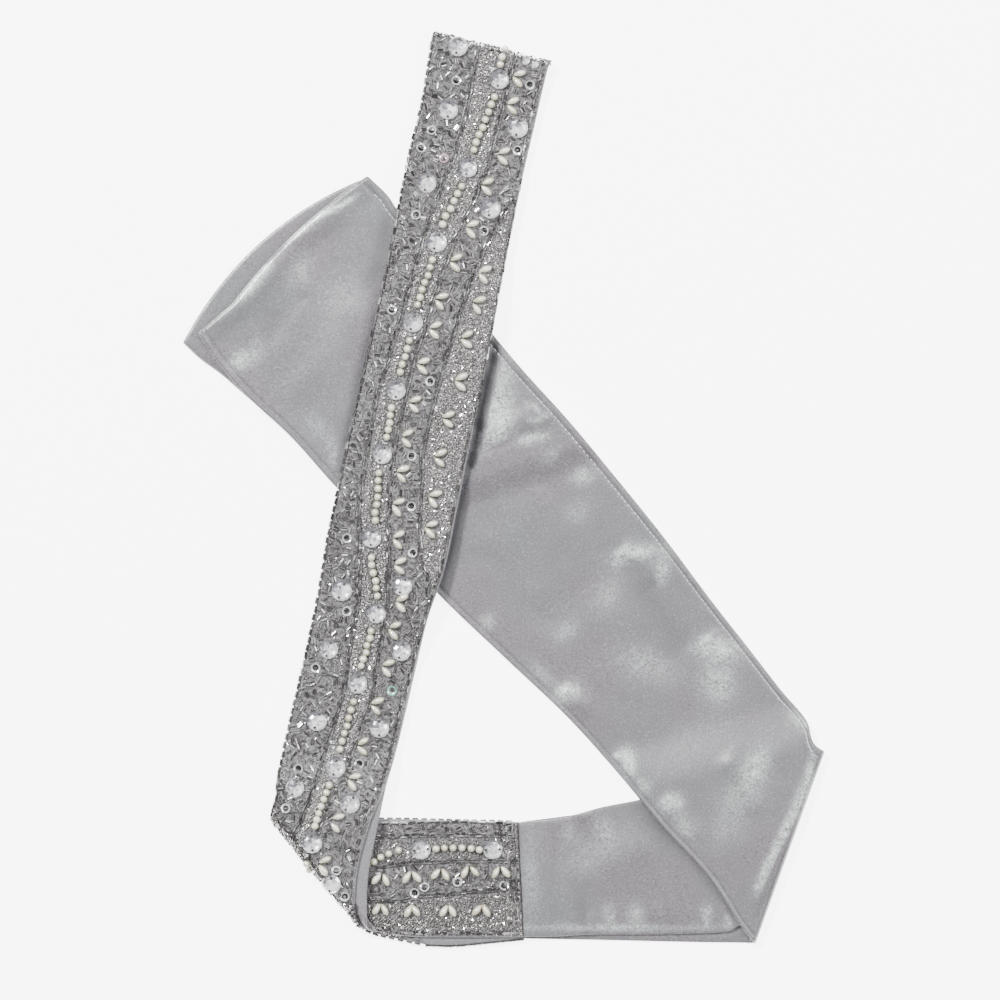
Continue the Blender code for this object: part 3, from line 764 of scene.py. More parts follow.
creaseColumns = ("path", "height", "width", "ends", "leftWidth", "sharp")
# patches of painted light: where, how big, turned how far, how strong (below nought, painted shade)
# and a line they stay above
paintedLightColumns = ("at", "size", "turn", "amount", "above")
stitching = {"inset": 3.4, "pitch": 2.3, "start": 12.0, "end": 22.0, "face": 1.2, "out": 1.3}
diagonal = {
    # seed, size and height of each broad swell
    "swells": ((1.0, 34.0, 0.55), (2.0, 13.0, 0.16)),
    "creases": table(creaseColumns, [
        ([(-14.5, 10.6), (-9.5, 16.2), (0.4, 19.4), (5.9, 22.4), (12.5, 23.4), (22.0, 24.6)],
          -0.7, 2.2),
        ([(-10.0, 22.5), (-1.0, 25.6), (7.0, 28.4), (17.0, 29.0)], 0.8, 5.2),
        ([(-9.0, 25.0), (-7.0, 40.0), (-2.0, 52.0)], 1.1, 5.5),
        ([(11.0, 36.0), (17.5, 30.0)], 0.6, 1.6, 0.4),
        ([(15.0, 38.0), (21.0, 31.0)], 0.5, 1.4, 0.4),
        ([(7.0, 33.0), (12.5, 28.5)], 0.5, 1.5, 0.4),
        ([(50.0, -24.0), (60.0, -31.0), (68.0, -40.0)], 0.9, 5.0),
        ([(86.0, -62.0), (93.0, -70.0), (92.0, -86.0)], 0.9, 5.0),
        ([(24.0, -86.0), (31.0, -90.5), (38.0, -96.0)], 0.7, 4.0),
        ([(48.0, -113.0), (55.0, -119.5), (60.0, -126.0)], 0.8, 3.6),
        ([(68.0, -131.0), (76.0, -140.0), (84.0, -152.0)], 0.9, 4.2),
        ([(95.0, -112.0), (105.0, -125.0), (108.0, -142.0)], 0.9, 6.0),
        ([(132.0, -118.0), (124.0, -140.0), (112.0, -166.0), (106.0, -184.0)], 0.6, 2.2, 0.0,
          2.0),
        ([(-130.0, 68.0), (-117.4, 75.0), (-103.6, 86.0), (-87.3, 106.0), (-60.0, 125.0)], 0.8,
          4.2),
        ([(-114.0, 52.0), (-100.0, 66.0), (-84.0, 88.0)], -0.5, 5.0),
        ([(-95.0, 36.0), (-74.0, 58.0), (-60.0, 84.0)], 0.6, 7.0),
        ([(10.0, -60.0), (34.0, -44.0), (52.0, -24.0)], -0.5, 7.0),
        ([(-10.0, -30.0), (8.0, -14.0), (20.0, 2.0)], 0.5, 8.0),
    ]),
    # patches of painted highlight, and below nought of painted shade
    "paintedLights": table(paintedLightColumns, [
        ((-3.0, 29.5), (6.0, 16.0), -8.0, 1.1, (-13.3, 12.3, 0.480)),
        ((-0.5, 47.0), (3.5, 9.0), -8.0, 0.35),
        ((10.8, 21.5), (7.5, 2.4), 12.0, 0.8),
        ((15.0, 34.0), (4.5, 1.1), -30.0, 0.7),
        ((17.5, 30.5), (3.6, 1.0), 25.0, 0.7),
        ((12.5, 29.5), (3.0, 0.9), 5.0, 0.55),
        ((20.5, 14.0), (4.5, 2.2), 35.0, 0.35),
        ((34.4, 5.5), (4.6, 3.6), 20.0, 0.7),
        ((32.5, -11.0), (6.5, 5.5), 20.0, 0.4),
        ((57.5, -27.3), (10.0, 2.9), 8.0, 0.85),
        ((50.0, -31.0), (3.6, 2.6), 55.0, 0.5),
        ((68.4, -35.5), (2.9, 6.6), -14.0, 0.65),
        ((45.4, -46.0), (7.0, 5.0), 60.0, 0.3),
        ((91.5, -69.0), (9.5, 5.0), -10.0, 1.0),
        ((92.5, -84.0), (6.6, 7.0), 10.0, 0.85),
        ((62.0, -76.0), (13.0, 6.5), -20.0, 0.38),
        ((27.3, -87.7), (5.4, 3.8), 25.0, 1.0),
        ((17.0, -80.0), (7.0, 2.6), -45.0, 0.35),
        ((-6.7, -57.0), (3.6, 3.0), 45.0, 0.5),
        ((26.8, -61.4), (5.5, 3.6), 30.0, 0.4),
        ((54.0, -116.5), (2.8, 5.0), 8.0, 1.0),
        ((60.0, -127.0), (4.2, 2.2), -50.0, 0.55),
        ((71.9, -135.1), (4.6, 3.2), 25.0, 1.0),
        ((77.5, -145.0), (6.0, 3.0), -55.0, 0.6),
        ((108.5, -119.5), (8.0, 4.2), 58.0, 0.75),
        ((102.0, -131.0), (13.0, 7.5), 58.0, 0.36),
        ((96.0, -146.0), (10.0, 7.0), 50.0, 0.2),
        ((127.0, -99.6), (5.0, 2.4), -45.0, 0.6),
        ((85.0, -104.0), (14.0, 8.0), 30.0, 0.08),
        ((-112.4, 55.4), (4.9, 3.6), 35.0, 0.9),
        ((-106.0, 61.0), (2.6, 5.5), 0.0, 0.35),
        ((-68.6, 81.5), (11.0, 8.5), 30.0, 0.28),
        ((-87.3, 92.7), (4.5, 8.0), -20.0, 0.35),
        ((-73.0, 60.0), (8.0, 14.0), 20.0, 0.08),
        ((-80.0, 26.0), (8.0, 4.0), -45.0, 0.28),
        ((-72.0, 12.7), (3.0, 8.0), 10.0, 0.42),
    ]),
    # lines of light and shade, in the columns of the creases
    "streaks": table(creaseColumns, [
        ([(132.9, -108.0), (133.0, -114.0), (130.6, -126.0), (123.2, -143.0), (115.8, -157.5),
          (109.6, -172.0), (105.5, -178.5)], 0.95, 1.7),
        ([(135.5, -112.0), (134.6, -124.0), (128.0, -142.0), (120.0, -158.0), (113.0, -174.0),
          (107.5, -186.0)], -0.55, 1.6),
        ([(-131.0, 70.0), (-120.0, 77.5), (-110.5, 84.3), (-103.2, 92.6), (-98.4, 101.5)], 0.85,
          2.4),
        ([(-98.4, 101.5), (-89.0, 108.6), (-77.8, 117.5), (-68.6, 122.0), (-59.3, 128.2)], 1.0,
          1.1),
        ([(-13.0, 9.6), (-9.0, 14.0), (0.2, 17.6), (6.0, 20.4), (10.0, 22.6)], -0.42, 1.8),
        ([(56.3, -37.2), (66.0, -51.0), (78.3, -70.3)], -0.38, 6.0),
        ([(38.0, -4.0), (30.0, -22.0), (16.0, -34.0)], -0.16, 8.0),
        ([(2.0, 58.0), (16.0, 42.0), (30.0, 24.0)], -0.20, 4.0),
        ([(-60.0, 118.0), (-52.0, 108.0), (-46.0, 92.0)], -0.2, 6.0),
        ([(-1.9, 66.0), (-5.4, 46.7), (-8.0, 34.6), (-10.5, 22.5), (-13.3, 11.0)], -2.0, 2.1,
          0.6, 1.0, 4),
        ([(-12.7, 14.0), (-17.0, -2.0), (-22.0, -26.0), (-26.6, -43.0)], -1.2, 1.9, 0.8),
        ([(-48.8, 122.0), (-50.8, 111.6), (-53.5, 101.0), (-58.0, 84.0)], -0.6, 3.0),
        ([(-53.5, 84.0), (-60.2, 54.8), (-66.0, 29.0), (-70.4, 8.0)], -0.9, 1.8, 0.5),
    ]),
}
# the hems' welts and grooves: which edge, how far in, how wide and how high
hemColumns = ("edge", "inset", "reach", "height")
hemRows = table(hemColumns, [
    ("right", 1.7, 0.9, 0.2),
    ("left", 1.0, 0.8, 0.2),
    ("right", stitching["inset"], 0.7, -0.3),
    ("left", 2.4, 0.6, -0.35),
])


# painted light of the patches at a point: above nought highlight, below it shade
def paintedLightAt(paintedLights, x, y):
    total = 0.0
    for spot in paintedLights:
        angle = math.radians(spot["turn"])
        dx, dy = x - spot["at"][0], y - spot["at"][1]
        a = (dx * math.cos(angle) + dy * math.sin(angle)) / spot["size"][0]
        b = (-dx * math.sin(angle) + dy * math.cos(angle)) / spot["size"][1]
        if a * a + b * b > 6.0:
            continue
        amount = spot["amount"] * math.exp(-(a * a + b * b))
        if "above" in spot:
            startX, startY, rise = spot["above"]
            clearance = (y - startY) * math.sqrt(1.0 - rise * rise) - (x - startX) * rise
            amount *= smoothStep(clearance / 1.3)
        total += amount
    return min(total, 1.0)


def diagonalRelief(x, y, u, nearLeft, nearRight):
    height = sum(creaseHeight(crease, x, y) for crease in diagonal["creases"])
    height += sum(swell(x, y, *values) for values in diagonal["swells"])
    near, hem = {"left": nearLeft, "right": nearRight}, 0.0
    for row in hemRows:
        hem += row["height"] * math.exp(-((near[row["edge"]] - row["inset"]) / row["reach"]) ** 2)
    return height + hem + edgePucker(u, nearLeft, 11.0) + edgePucker(u, nearRight, 12.0)


# painted highlights and painted shade and shadow on the diagonal, from patches and lines
def diagonalPaintedLight(x, y):
    return paintedLightAt(diagonal["paintedLights"], x, y) + sum(creaseHeight(streak, x, y)
                                                 for streak in diagonal["streaks"])


strip = {
    "swells": ((3.0, 24.0, 0.35),),
    "creases": table(creaseColumns, [
        ([(20.0, -143.0), (20.6, -165.0), (19.6, -190.0)], -0.35, 1.6),
        ([(16.0, -146.0), (15.6, -166.0), (15.0, -188.0)], 0.35, 3.0),
        ([(37.0, -191.0), (38.5, -184.0)], 0.6, 1.5, 0.8),
        ([(46.0, -191.0), (47.0, -181.0)], 0.5, 1.8, 0.8),
        ([(56.5, -191.0), (57.0, -184.0)], 0.6, 1.6, 0.8),
        ([(67.0, -191.0), (66.0, -180.0)], 0.5, 1.8, 0.8),
        ([(88.0, -190.0), (86.0, -182.0)], 0.5, 1.5, 0.8),
        ([(97.0, -189.0), (94.0, -181.0)], 0.5, 1.5, 0.8),
        ([(29.0, -141.5), (28.0, -150.0)], 0.5, 1.8, 0.8),
        ([(38.0, -138.5), (38.0, -149.0)], 0.5, 1.8, 0.8),
        ([(30.0, -170.0), (48.0, -160.0), (66.0, -150.0)], 0.5, 7.0),
    ]),
    # painted highlights, and below nought painted shade, with the painted shadow of the diagonal's
    # edge
    "paintedLights": table(paintedLightColumns, [
        ((11.5, -166.0), (4.0, 20.0), 0.0, 0.3),
        ((50.0, -188.5), (40.0, 1.4), 0.0, 0.6),
        ((40.0, -155.0), (16.0, 8.0), 30.0, 0.25),
        ((45.5, -184.0), (2.2, 4.5), 12.0, 0.5),
        ((57.0, -183.0), (3.4, 5.0), 8.0, 0.5),
        ((87.5, -183.0), (2.4, 4.5), -10.0, 0.5),
        ((96.5, -186.0), (1.8, 3.5), 10.0, 0.5),
        ((28.0, -148.0), (2.6, 4.0), 0.0, 0.3),
        ((44.0, -146.0), (3.0, 5.0), 25.0, 0.35),
        ((34.0, -181.0), (2.6, 8.5), 14.0, -0.45),
        ((20.0, -168.0), (1.6, 22.0), 0.0, -0.12),
        ((35.0, -143.5), (3.4, 3.0), 0.0, -0.4),
        ((72.0, -186.0), (7.0, 3.0), 0.0, -0.3),
        ((67.0, -146.0), (15.0, 3.6), -49.0, -0.75),
        ((90.0, -172.0), (17.0, 2.4), -51.0, -0.6),
    ]),
}


def stripRelief(x, y, u, nearLeft, nearRight):
    height = sum(creaseHeight(crease, x, y) for crease in strip["creases"])
    height += sum(swell(x, y, *values) for values in strip["swells"])
    height += edgePucker(u, nearLeft, 13.0) + edgePucker(u, nearRight, 14.0)
    return height * smoothStep(diagonalLowerEdge.beyond(x, y) / 5.0)


def stripPaintedLight(x, y):
    return paintedLightAt(strip["paintedLights"], x, y)


def hiddenRelief(x, y, u, nearLeft, nearRight):
    return (edgePucker(u, nearLeft, 21.0, pucker["hidden"])
            + edgePucker(u, nearRight, 22.0, pucker["hidden"]))


def declareCloth(cloth, stretch, node):
    widths = [math.hypot(row[2] - row[0], row[3] - row[1]) for row in stretch.flat]
    widest = max(widths)
    area = 0.0
    for index, (first, second) in enumerate(zip(widths, widths[1:])):
        area += (first + second) / 2.0 * (stretch.knots[index + 1] - stretch.knots[index])
    if node:
        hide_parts(node)
    area = min(area, widest * stretch.length)
    return cloth


band = {"clothWall": 1.2, "inset": 0.2}


def pipingWidth(u):
    # how much of the lining's edge shows beside the beads
    return 2.0 if u < 62.0 else -0.2 if u < 168.0 else 0.8 if u < 290.0 else 2.2


frontPiping = {"width": pipingWidth, "material": satinLining}
shortPiping = {"width": lambda u: 1.8, "material": satinLining}
bandFrontCloth = layCloth("bandFrontCloth", bandFront, 0.0, band["clothWall"], beadedCloth,
                          inset=band["inset"], trim=frontPiping, extend=0.35)
declareCloth(bandFrontCloth, bandFront, "band_front")
liningLow, liningHigh = lay["bandWall"] - band["clothWall"], lay["bandWall"]
bandUnderCloth = layCloth("bandUnderCloth", bandUnder, liningLow, liningHigh, satinLining,
                          inset=0.3)
declareCloth(bandUnderCloth, bandUnder, "band_under")
bandReturnCloth = layCloth("bandReturnCloth", bandReturn, 0.0, band["clothWall"], beadedCloth,
                           inset=band["inset"], trim=shortPiping)
declareCloth(bandReturnCloth, bandReturn, "band_return")
bandLowCloth = layCloth("bandLowCloth", bandLow, liningLow, liningHigh, satinLining, extend=2.2)
declareCloth(bandLowCloth, bandLow, "band_low")
print("band cloths laid")

wall = lay["satinWall"]
tailBStripCloth = layCloth("tailBStripCloth", tailBStrip, 0.0, wall, satinFace, grain=1.5,
                           relief=stripRelief, paintedLight=stripPaintedLight, reliefUnder=True)
declareCloth(tailBStripCloth, tailBStrip, "tail_b_strip")
tailAStripCloth = layCloth("tailAStripCloth", tailAStrip, 0.0, 1.12, satinFace,
                           relief=hiddenRelief, extend=0.8)
declareCloth(tailAStripCloth, tailAStrip, "tail_a_strip")
tailADiagonalCloth = layCloth("tailADiagonalCloth", tailADiagonal, 0.0, wall, satinFace, grain=1.5,
                              relief=diagonalRelief, paintedLight=diagonalPaintedLight, hem=5.0)
declareCloth(tailADiagonalCloth, tailADiagonal, "tail_a_diagonal")
tailBDiagonalCloth = layCloth("tailBDiagonalCloth", tailBDiagonal, 0.0, wall, satinFace,
                              relief=hiddenRelief)
declareCloth(tailBDiagonalCloth, tailBDiagonal, "tail_b_diagonal")

tailLayerLow = layCloth("tailLayerLow", tailLayer, 0.0, wall, satinFace, relief=hiddenRelief)
declareCloth(tailLayerLow, tailLayer, "tail_layers")
tailLayerMiddle = layCloth("tailLayerMiddle", tailLayer, 1.45, 2.6, satinFace, inset=0.4)
declareCloth(tailLayerMiddle, tailLayer, None)
print("satin laid")


# Small things are modelled once and copied to their places as one mesh
def takeMesh():
    # what was just modelled, as bare geometry in millimetres about its own middle
    made = bpy.context.object
    for modifier in list(made.modifiers):
        bpy.ops.object.modifier_apply(modifier=modifier.name)
    mesh = made.data
    points = [made.matrix_world @ vert.co for vert in mesh.vertices]
    faces = [(list(face.vertices), face.material_index) for face in mesh.polygons]
    bpy.data.objects.remove(made, do_unlink=True)
    return {"points": points, "faces": faces}


def editAll(select="SELECT"):
    bpy.ops.object.mode_set(mode="EDIT")
    bpy.ops.mesh.select_all(action=select)


def leaveEdit():
    bpy.ops.object.mode_set(mode="OBJECT")


def selectFaces(test):
    # faces of the active mesh chosen by the way they face
    editAll("DESELECT")
    bpy.ops.mesh.select_mode(type="FACE")
    leaveEdit()
    for face in bpy.context.object.data.polygons:
        face.select = test(face.normal)
    bpy.ops.object.mode_set(mode="EDIT")


def modelSeed():
    bpy.ops.mesh.primitive_torus_add(major_segments=6, minor_segments=4, major_radius=0.5,
                                     minor_radius=0.34)
    editAll()
    bpy.ops.transform.resize(value=(1.0, 1.0, 1.15))
    leaveEdit()
    return takeMesh()


def modelBugle(radius, length):
    # a cut tube lying along X, open at both ends
    bpy.ops.mesh.primitive_cylinder_add(vertices=6, radius=radius, depth=length,
                                        rotation=(0.0, math.pi / 2.0, 0.0))
    bpy.ops.object.transform_apply(location=False, rotation=True, scale=False)
    selectFaces(lambda normal: abs(normal.x) > 0.9)
    bpy.ops.mesh.inset(thickness=0.4 * radius)
    bpy.ops.transform.resize(value=(0.8, 1.0, 1.0))
    leaveEdit()
    return takeMesh()


def modelPearl():
    bpy.ops.mesh.primitive_uv_sphere_add(segments=14, ring_count=9, radius=1.66)
    editAll()
    bpy.ops.transform.resize(value=(1.0, 1.0, 0.94))
    leaveEdit()
    return takeMesh()


def modelRicePearl():
    # a drop lying along X, its point at +X
    bpy.ops.mesh.primitive_uv_sphere_add(segments=12, ring_count=11, radius=1.0,
                                         rotation=(0.0, math.pi / 2.0, 0.0))
    bpy.ops.object.transform_apply(location=False, rotation=True, scale=False)
    made = bpy.context.object
    for vert in made.data.vertices:
        taper = 1.0 - 0.28 * smoothStep((vert.co.x + 0.2) / 1.2)
        vert.co.y *= 1.5 * taper
        vert.co.z *= 1.5 * taper
        vert.co.x *= 2.85
    return takeMesh()


def modelStone():
    # a sewn stone: rows of facets up to a shallow crown, and near its rim dark discs for the thread
    # holes, painted shade for their depth
    bpy.ops.mesh.primitive_cylinder_add(vertices=12, radius=4.25, depth=0.8)
    selectFaces(lambda normal: normal.z > 0.9)
    for height, size in ((0.75, 0.80), (0.42, 0.66)):
        bpy.ops.mesh.extrude_region_move(TRANSFORM_OT_translate={"value": (0.0, 0.0, height)})
        bpy.ops.transform.resize(value=(size, size, 1.0))
    bpy.ops.mesh.poke(offset=0.16)
    selectFaces(lambda normal: normal.z < -0.9)
    bpy.ops.mesh.extrude_region_move(TRANSFORM_OT_translate={"value": (0.0, 0.0, -0.45)})
    bpy.ops.transform.resize(value=(0.82, 0.82, 1.0))
    selectFaces(lambda normal: 0.2 < normal.z < 0.99)
    bpy.ops.mesh.quads_convert_to_tris(quad_method="FIXED", ngon_method="BEAUTY")
    leaveEdit()
    stone, hole = takeMesh(), modelHole()
    for side in (-1, 1):
        first, shift = len(stone["points"]), Vector((2.95 * side, 0.0, 1.36))
        stone["points"] += [point + shift for point in hole["points"]]
        for corners, mark in hole["faces"]:
            stone["faces"].append(([first + corner for corner in corners], 1))
    return stone


def modelHole():
    bpy.ops.mesh.primitive_cylinder_add(vertices=8, radius=0.58, depth=0.4)
    selectFaces(lambda normal: normal.z > 0.9)
    bpy.ops.mesh.inset(thickness=0.15)
    leaveEdit()
    return takeMesh()


def modelCup():
    # a cupped sequin: a bright ring round a darker dish, which holds a seed
    bpy.ops.mesh.primitive_cylinder_add(vertices=14, radius=2.1, depth=0.35)
    selectFaces(lambda normal: abs(normal.z) > 0.9)
    bpy.ops.mesh.inset(thickness=0.66)
    bpy.ops.transform.translate(value=(0.0, 0.0, -0.4))
    bpy.ops.mesh.inset(thickness=0.55)
    bpy.ops.transform.translate(value=(0.0, 0.0, -0.2))
    leaveEdit()
    cup = takeMesh()
    for index, (corners, mark) in enumerate(cup["faces"]):
        middle = sum((cup["points"][corner] for corner in corners), Vector()) / len(corners)
        cup["faces"][index] = (corners, 1 if math.hypot(middle.x, middle.y) < 1.42 else 0)
    return cup


def modelStitch():
    bpy.ops.mesh.primitive_uv_sphere_add(segments=6, ring_count=5, radius=1.0,
                                         rotation=(0.0, math.pi / 2.0, 0.0))
    bpy.ops.object.transform_apply(location=False, rotation=True, scale=False)
    bpy.context.object.scale = (0.95, 0.22, 0.18)
    bpy.ops.object.transform_apply(location=False, rotation=False, scale=True)
    return takeMesh()


def placement(stretch, u, v, out, turn=0.0, tilt=0.0, roll=0.0, scale=1.0, shade=0.5):
    # turn is about the cloth's normal; tilt and roll lean the piece after that
    return {"stretch": stretch, "u": u, "v": v, "out": out, "turn": turn, "tilt": tilt,
            "roll": roll, "scale": scale, "shade": shade}


def spread(name, model, places, materials, paintedFacetLight=None):
    # copies of one model at their places, as one mesh with a shade for each copy, or with painted
    # light and shade for each facet
    sharpAngle = 40.0
    verts, faces, shades, marks = [], [], [], []
    for place in places:
        stretch = place["stretch"]
        share = place["v"] / stretch.width
        here, along, across, outward = stretch.axes(place["u"], share, place["out"])
        basis = Matrix((along, across, outward)).transposed()
        lean = Matrix.Rotation(math.radians(place["turn"]), 3, "Z") \
            @ Matrix.Rotation(math.radians(place["tilt"]), 3, "Y") \
            @ Matrix.Rotation(math.radians(place["roll"]), 3, "X")
        turned = basis @ lean * (place["scale"] * mm)
        first = len(verts)
        verts += [here + turned @ point for point in model["points"]]
        flipped = turned.determinant() < 0.0
        for corners, mark in model["faces"]:
            corners = [first + corner for corner in corners]
            faces.append(corners[::-1] if flipped else corners)
            marks.append(mark)
            shades.append(place["shade"])
    mesh = bpy.data.meshes.new(name)
    mesh.from_pydata(verts, [], faces)
    if paintedFacetLight:
        shades = [paintedFacetLight(face.normal) for face in mesh.polygons]
    shade = mesh.attributes.new("shade", "FLOAT", "FACE")
    shade.data.foreach_set("value", shades)
    for material in materials:
        mesh.materials.append(material)
    mesh.polygons.foreach_set("material_index", marks)
    if paintedFacetLight:
        mesh.shade_flat()
    else:
        mesh.shade_smooth()
        mesh.set_sharp_from_angle(angle=math.radians(sharpAngle))
    piece = bpy.data.objects.new(name, mesh)
    bpy.context.collection.objects.link(piece)
    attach(piece, "root")
    print(name, len(places), "copies,", len(faces), "faces")
    return piece


def paintedFacetLight(normal):
    # painted light: facets on the side away from the window are painted bright, as the foil of a
    # stone sends light back, and the rest darker, with a random part
    bright = 0.52 + 1.9 * (normal.x * 0.5 - normal.y * 0.85)
    return min(max(bright + chance.uniform(-0.42, 0.42), 0.0), 1.0)


seedModel = modelSeed()
bugleModel = modelBugle(0.46, 2.25)
pearlModel = modelPearl()
riceModel = modelRicePearl()
stoneModel = modelStone()
cupModel = modelCup()
stitchModel = modelStitch()
print("bead models made")

# Where the large beads lie: millimetres along the stretch, share of its width
longBand = {
    "stretch": bandFront,
    "paintedShadeFactor": 1.0,
    "stringStones": [(21.0, 0.62), (61.1, 0.52), (95.2, 0.38), (131.2, 0.32), (161.3, 0.30),
                     (189.3, 0.30), (225.4, 0.36), (256.5, 0.54), (287.5, 0.52), (324.6, 0.50),
                     (359.6, 0.46)],
    "loneStones": [(11.6, 0.22), (38.1, 0.24), (71.1, 0.20), (249.4, 0.20), (275.5, 0.20),
                   (306.5, 0.24), (337.6, 0.18), (40.1, 0.86), (76.1, 0.78), (242.4, 0.70),
                   (270.5, 0.84), (304.5, 0.80), (337.6, 0.74), (365.6, 0.72)],
    "pearls": [(8.4, 0.61), (11.4, 0.60), (14.6, 0.60), (370.0, 0.433), (373.5, 0.44)],
    "smallStones": [(10.2, 0.80), (10.6, 0.88)],
    "pairs": [(31.0, 0.78), (53.0, 0.80), (67.0, 0.72), (86.0, 0.66), (102.0, 0.58),
              (119.0, 0.52), (132.0, 0.52), (148.0, 0.48), (165.0, 0.48), (180.0, 0.48),
              (195.0, 0.50), (209.0, 0.52), (223.0, 0.58), (234.0, 0.64), (250.0, 0.74),
              (262.0, 0.74), (278.0, 0.76), (295.0, 0.74), (314.0, 0.70), (329.0, 0.70),
              (345.0, 0.68), (104.0, 0.84), (117.0, 0.84), (133.0, 0.80), (151.0, 0.82),
              (168.0, 0.78), (185.0, 0.78), (202.0, 0.80), (215.0, 0.82), (18.0, 0.78),
              (362.0, 0.63)],
    "cups": [(59.0, 0.30, "pink"), (287.5, 0.84, "green"), (321.6, 0.70, "clear"),
             (359.6, 0.76, "clear"), (85.5, 0.16, "clear"), (128.0, 0.12, "clear"),
             (56.5, 0.09, "clear"), (187.0, 0.54, "clear"), (227.0, 0.71, "clear"),
             (228.0, 0.16, "clear"), (257.5, 0.28, "clear"), (284.5, 0.12, "clear"),
             (25.5, 0.26, "clear"), (48.0, 0.14, "clear"), (86.0, 0.76, "clear"),
             (49.5, 0.90, "clear"), (20.0, 0.88, "clear"), (154.0, 0.56, "clear"),
             (208.0, 0.62, "clear"), (327.0, 0.17, "clear"), (364.5, 0.88, "clear"),
             (357.0, 0.12, "clear")],
    # the rows that part the zones: between the loops and the string, and so on
    "zones": [(0.0, 0.38, 0.71, 1.02), (30.0, 0.39, 0.69, 1.02), (57.0, 0.38, 0.68, 1.02),
              (70.0, 0.33, 0.64, 0.95), (84.0, 0.28, 0.57, 0.85), (97.0, 0.25, 0.51, 0.78),
              (110.0, 0.23, 0.47, 0.72), (127.0, 0.21, 0.43, 0.68), (147.0, 0.18, 0.39, 0.64),
              (167.0, 0.15, 0.38, 0.62), (183.0, 0.16, 0.38, 0.62), (200.0, 0.18, 0.41, 0.67),
              (214.0, 0.20, 0.45, 0.71), (227.0, 0.26, 0.51, 0.77), (240.0, 0.32, 0.56, 0.91),
              (255.0, 0.36, 0.62, 1.02), (272.0, 0.38, 0.645, 1.02), (292.0, 0.41, 0.67, 1.02),
              (306.0, 0.39, 0.64, 1.02), (322.0, 0.36, 0.60, 1.02), (340.0, 0.35, 0.56, 1.02),
              (353.0, 0.31, 0.50, 1.02), (368.0, 0.24, 0.46, 1.02), (395.0, 0.20, 0.42, 1.02)],
    "edgeRows": [(lambda u, width: 0.05, 3.5, 1.26),
                 (lambda u, width: width - 0.8 - pipingWidth(u), 2.9, 1.1)],
}
shortBand = {
    "stretch": bandReturn,
    # its beads are darker: painted shade, as it lies below the long band
    "paintedShadeFactor": 0.62,
    "stringStones": [],
    "loneStones": [(41.1, 0.24), (69.2, 0.24)],
    "smallStones": [],
    "pearls": [(17.5, 0.37), (21.0, 0.34), (24.6, 0.30), (28.2, 0.27), (32.4, 0.24),
               (47.2, 0.235), (50.6, 0.23), (54.0, 0.23), (57.5, 0.23), (61.0, 0.235),
               (64.0, 0.245)],
    "pairs": [(20.0, 0.50), (33.0, 0.48), (46.0, 0.46), (58.0, 0.44), (71.0, 0.44),
              (10.0, 0.77), (26.0, 0.77), (44.0, 0.77), (60.0, 0.77)],
    "cups": [(31.5, 0.61, "clear"), (52.0, 0.52, "clear"), (72.0, 0.55, "clear"),
             (37.0, 0.56, "clear")],
    "zones": [(0.0, 0.14, 0.42, 0.70), (20.0, 0.13, 0.38, 0.68), (40.0, 0.12, 0.35, 0.63),
              (60.0, 0.12, 0.34, 0.60), (79.2, 0.12, 0.34, 0.575)],
    "edgeRows": [(lambda u, width: 0.4, 3.1, 1.25), (lambda u, width: width - 2.4, 2.9, 1.25)],
}
zoneColumns = ("u", "first", "second", "third")


def zoneAt(zones, u):
    rows = table(zoneColumns, zones)
    for before, after in zip(rows, rows[1:]):
        if u <= after["u"]:
            t = smoothStep((u - before["u"]) / (after["u"] - before["u"]))
            return [before[name] + (after[name] - before[name]) * t for name in zoneColumns[1:]]
    return [rows[-1][name] for name in zoneColumns[1:]]


# How high each kind sits on the cloth, the room that it takes, and what parts it from the next
sewn = {
    "stone": {"out": 2.0, "reach": 4.5},
    "smallStone": {"out": 1.7, "reach": 1.9, "scale": 0.42},
    "pearl": {"out": 2.85, "reach": 2.0, "pitch": 3.62, "fromStone": 6.3},
    "rice": {"out": 2.5, "reach": 2.2, "half": 2.7, "apexU": 0.55, "apexV": 2.6,
             "tailShift": 1.6, "tailReach": 2.0},
    "cup": {"out": 1.9, "reach": 2.3, "gap": 0.6, "seedOut": 2.1, "seedScale": 0.7},
    "row": {"out": 1.65, "reach": 0.75, "gap": 0.3, "pitch": 2.35, "half": 0.65, "scale": 0.86},
    "tube": {"out": 1.65, "reach": 1.4, "gap": 0.75, "pitch": 3.05, "half": 0.46},
    "seed": {"out": 1.75, "gap": 0.3, "pitch": 1.1, "rollLift": 0.35},
    "staggered": 0.87,
    "around": 7.5,
}
seedKinds = ("seeds", "outerSeeds", "looseSeeds")
kinds = ("stones", "pearls", "rice", "cups", "bugles")
cupShades = {"clear": 0.0, "pink": 1.0, "green": 2.0}


def isClear(taken, u, v, gap):
    return all(math.hypot(u - a, v - b) > reach + gap for a, b, reach in taken)


